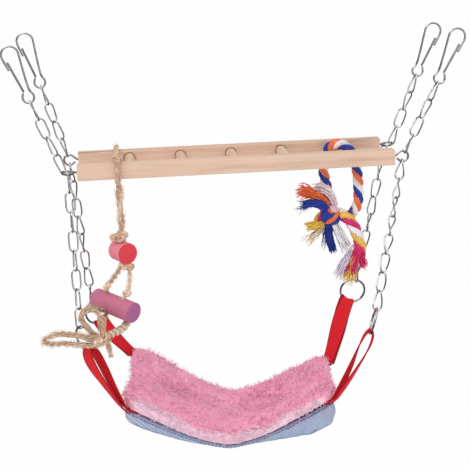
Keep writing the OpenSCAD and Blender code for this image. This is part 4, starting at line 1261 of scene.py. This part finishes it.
def cards(s, direction):
    """What plated wire mirrors: a dark room, a white card in front, a grey one behind, a white ceiling."""
    dark = (0.03, 0.03, 0.035)
    strip = s.ramp(s.towards(direction, "Y"), (0.02, 1), (0.06, dark), (0.92, dark), (0.98, 0.6))
    return s.mix(1.0, strip, s.ramp(s.towards(direction, "Z"), (0.72, 0), (0.86, 1)), "SCREEN")


def make_stage():
    # The sky: soft grey light, the cards for metal, and white for the camera
    world = bpy.data.worlds.new("studio")
    scene.world = world
    world.use_nodes = True
    sky = Graph(world.node_tree)
    sky.tree.nodes.clear()
    where = (sky.add("TexCoord"), "Generated")
    grey = sky.ramp(sky.towards(where, "Z"), (0.3, (0.72, 0.72, 0.73)), (0.8, 0.86))
    lit = (sky.add("Background", Color=grey), "Background")
    mirrored = (sky.add("Background", Color=cards(sky, where)), "Background")
    white = (sky.add("Background", Color=(1, 1, 1)), "Background")
    rays = sky.add("LightPath")
    seen = sky.math("MAXIMUM", (rays, "Is Camera Ray"), (rays, "Is Transmission Ray"))
    unseen = sky.add("MixShader", _0=(rays, "Is Glossy Ray"), _1=lit, _2=mirrored)
    both = sky.add("MixShader", _0=seen, _1=(unseen, "Shader"), _2=white)
    sky.add("OutputWorld", Surface=(both, "Shader"))

    for name, (where_to, power) in LAMPS.items():
        light = bpy.data.lights.new(name, "AREA")
        light.size = LAMP_SIZE
        light.energy = power
        lamp = bpy.data.objects.new(name, light)
        lamp.location = where_to
        lamp.rotation_mode = "QUATERNION"
        lamp.rotation_quaternion = (place(LAMP_AIM) - Vector(where_to)).to_track_quat("-Z", "Y")
        scene.collection.objects.link(lamp)

    # The floor takes light as it is, and glows white for the camera and with the cards for metal
    low, s = cad_low.z - FLOOR_BELOW, FLOOR_HALF
    mesh = bpy.data.meshes.new("floor")
    mesh.from_pydata([(-s, -s, low), (s, -s, low), (s, s, low), (-s, s, low)], [], [(0, 1, 2, 3)])
    floor = bpy.data.objects.new("floor", mesh)
    pale = Shader("pale_floor", Base_Color=(0.96, 0.96, 0.96), Roughness=0.9)
    rays = pale.add("LightPath")
    way = pale.add("VectorMath", {"operation": "NORMALIZE"}, _0=(pale.add("TexCoord"), "Object"))
    colour = pale.mix((rays, "Is Glossy Ray"), (1, 1, 1), cards(pale, (way, "Vector")))
    glow = pale.add("Emission", Color=colour)
    seen = pale.math("MAXIMUM", (rays, "Is Camera Ray"), (rays, "Is Glossy Ray"))
    seen = pale.math("MAXIMUM", seen, (rays, "Is Transmission Ray"))
    share = pale.math("MULTIPLY", seen, FLOOR_GLOW)
    both = pale.add("MixShader", _0=share, _1=(pale.surface, "BSDF"), _2=(glow, "Emission"))
    pale.set(pale.tree.nodes["Material Output"], {"Surface": (both, "Shader")})
    mesh.materials.append(pale.material)
    scene.collection.objects.link(floor)


make_stage()
scene.view_settings.view_transform = "Standard"
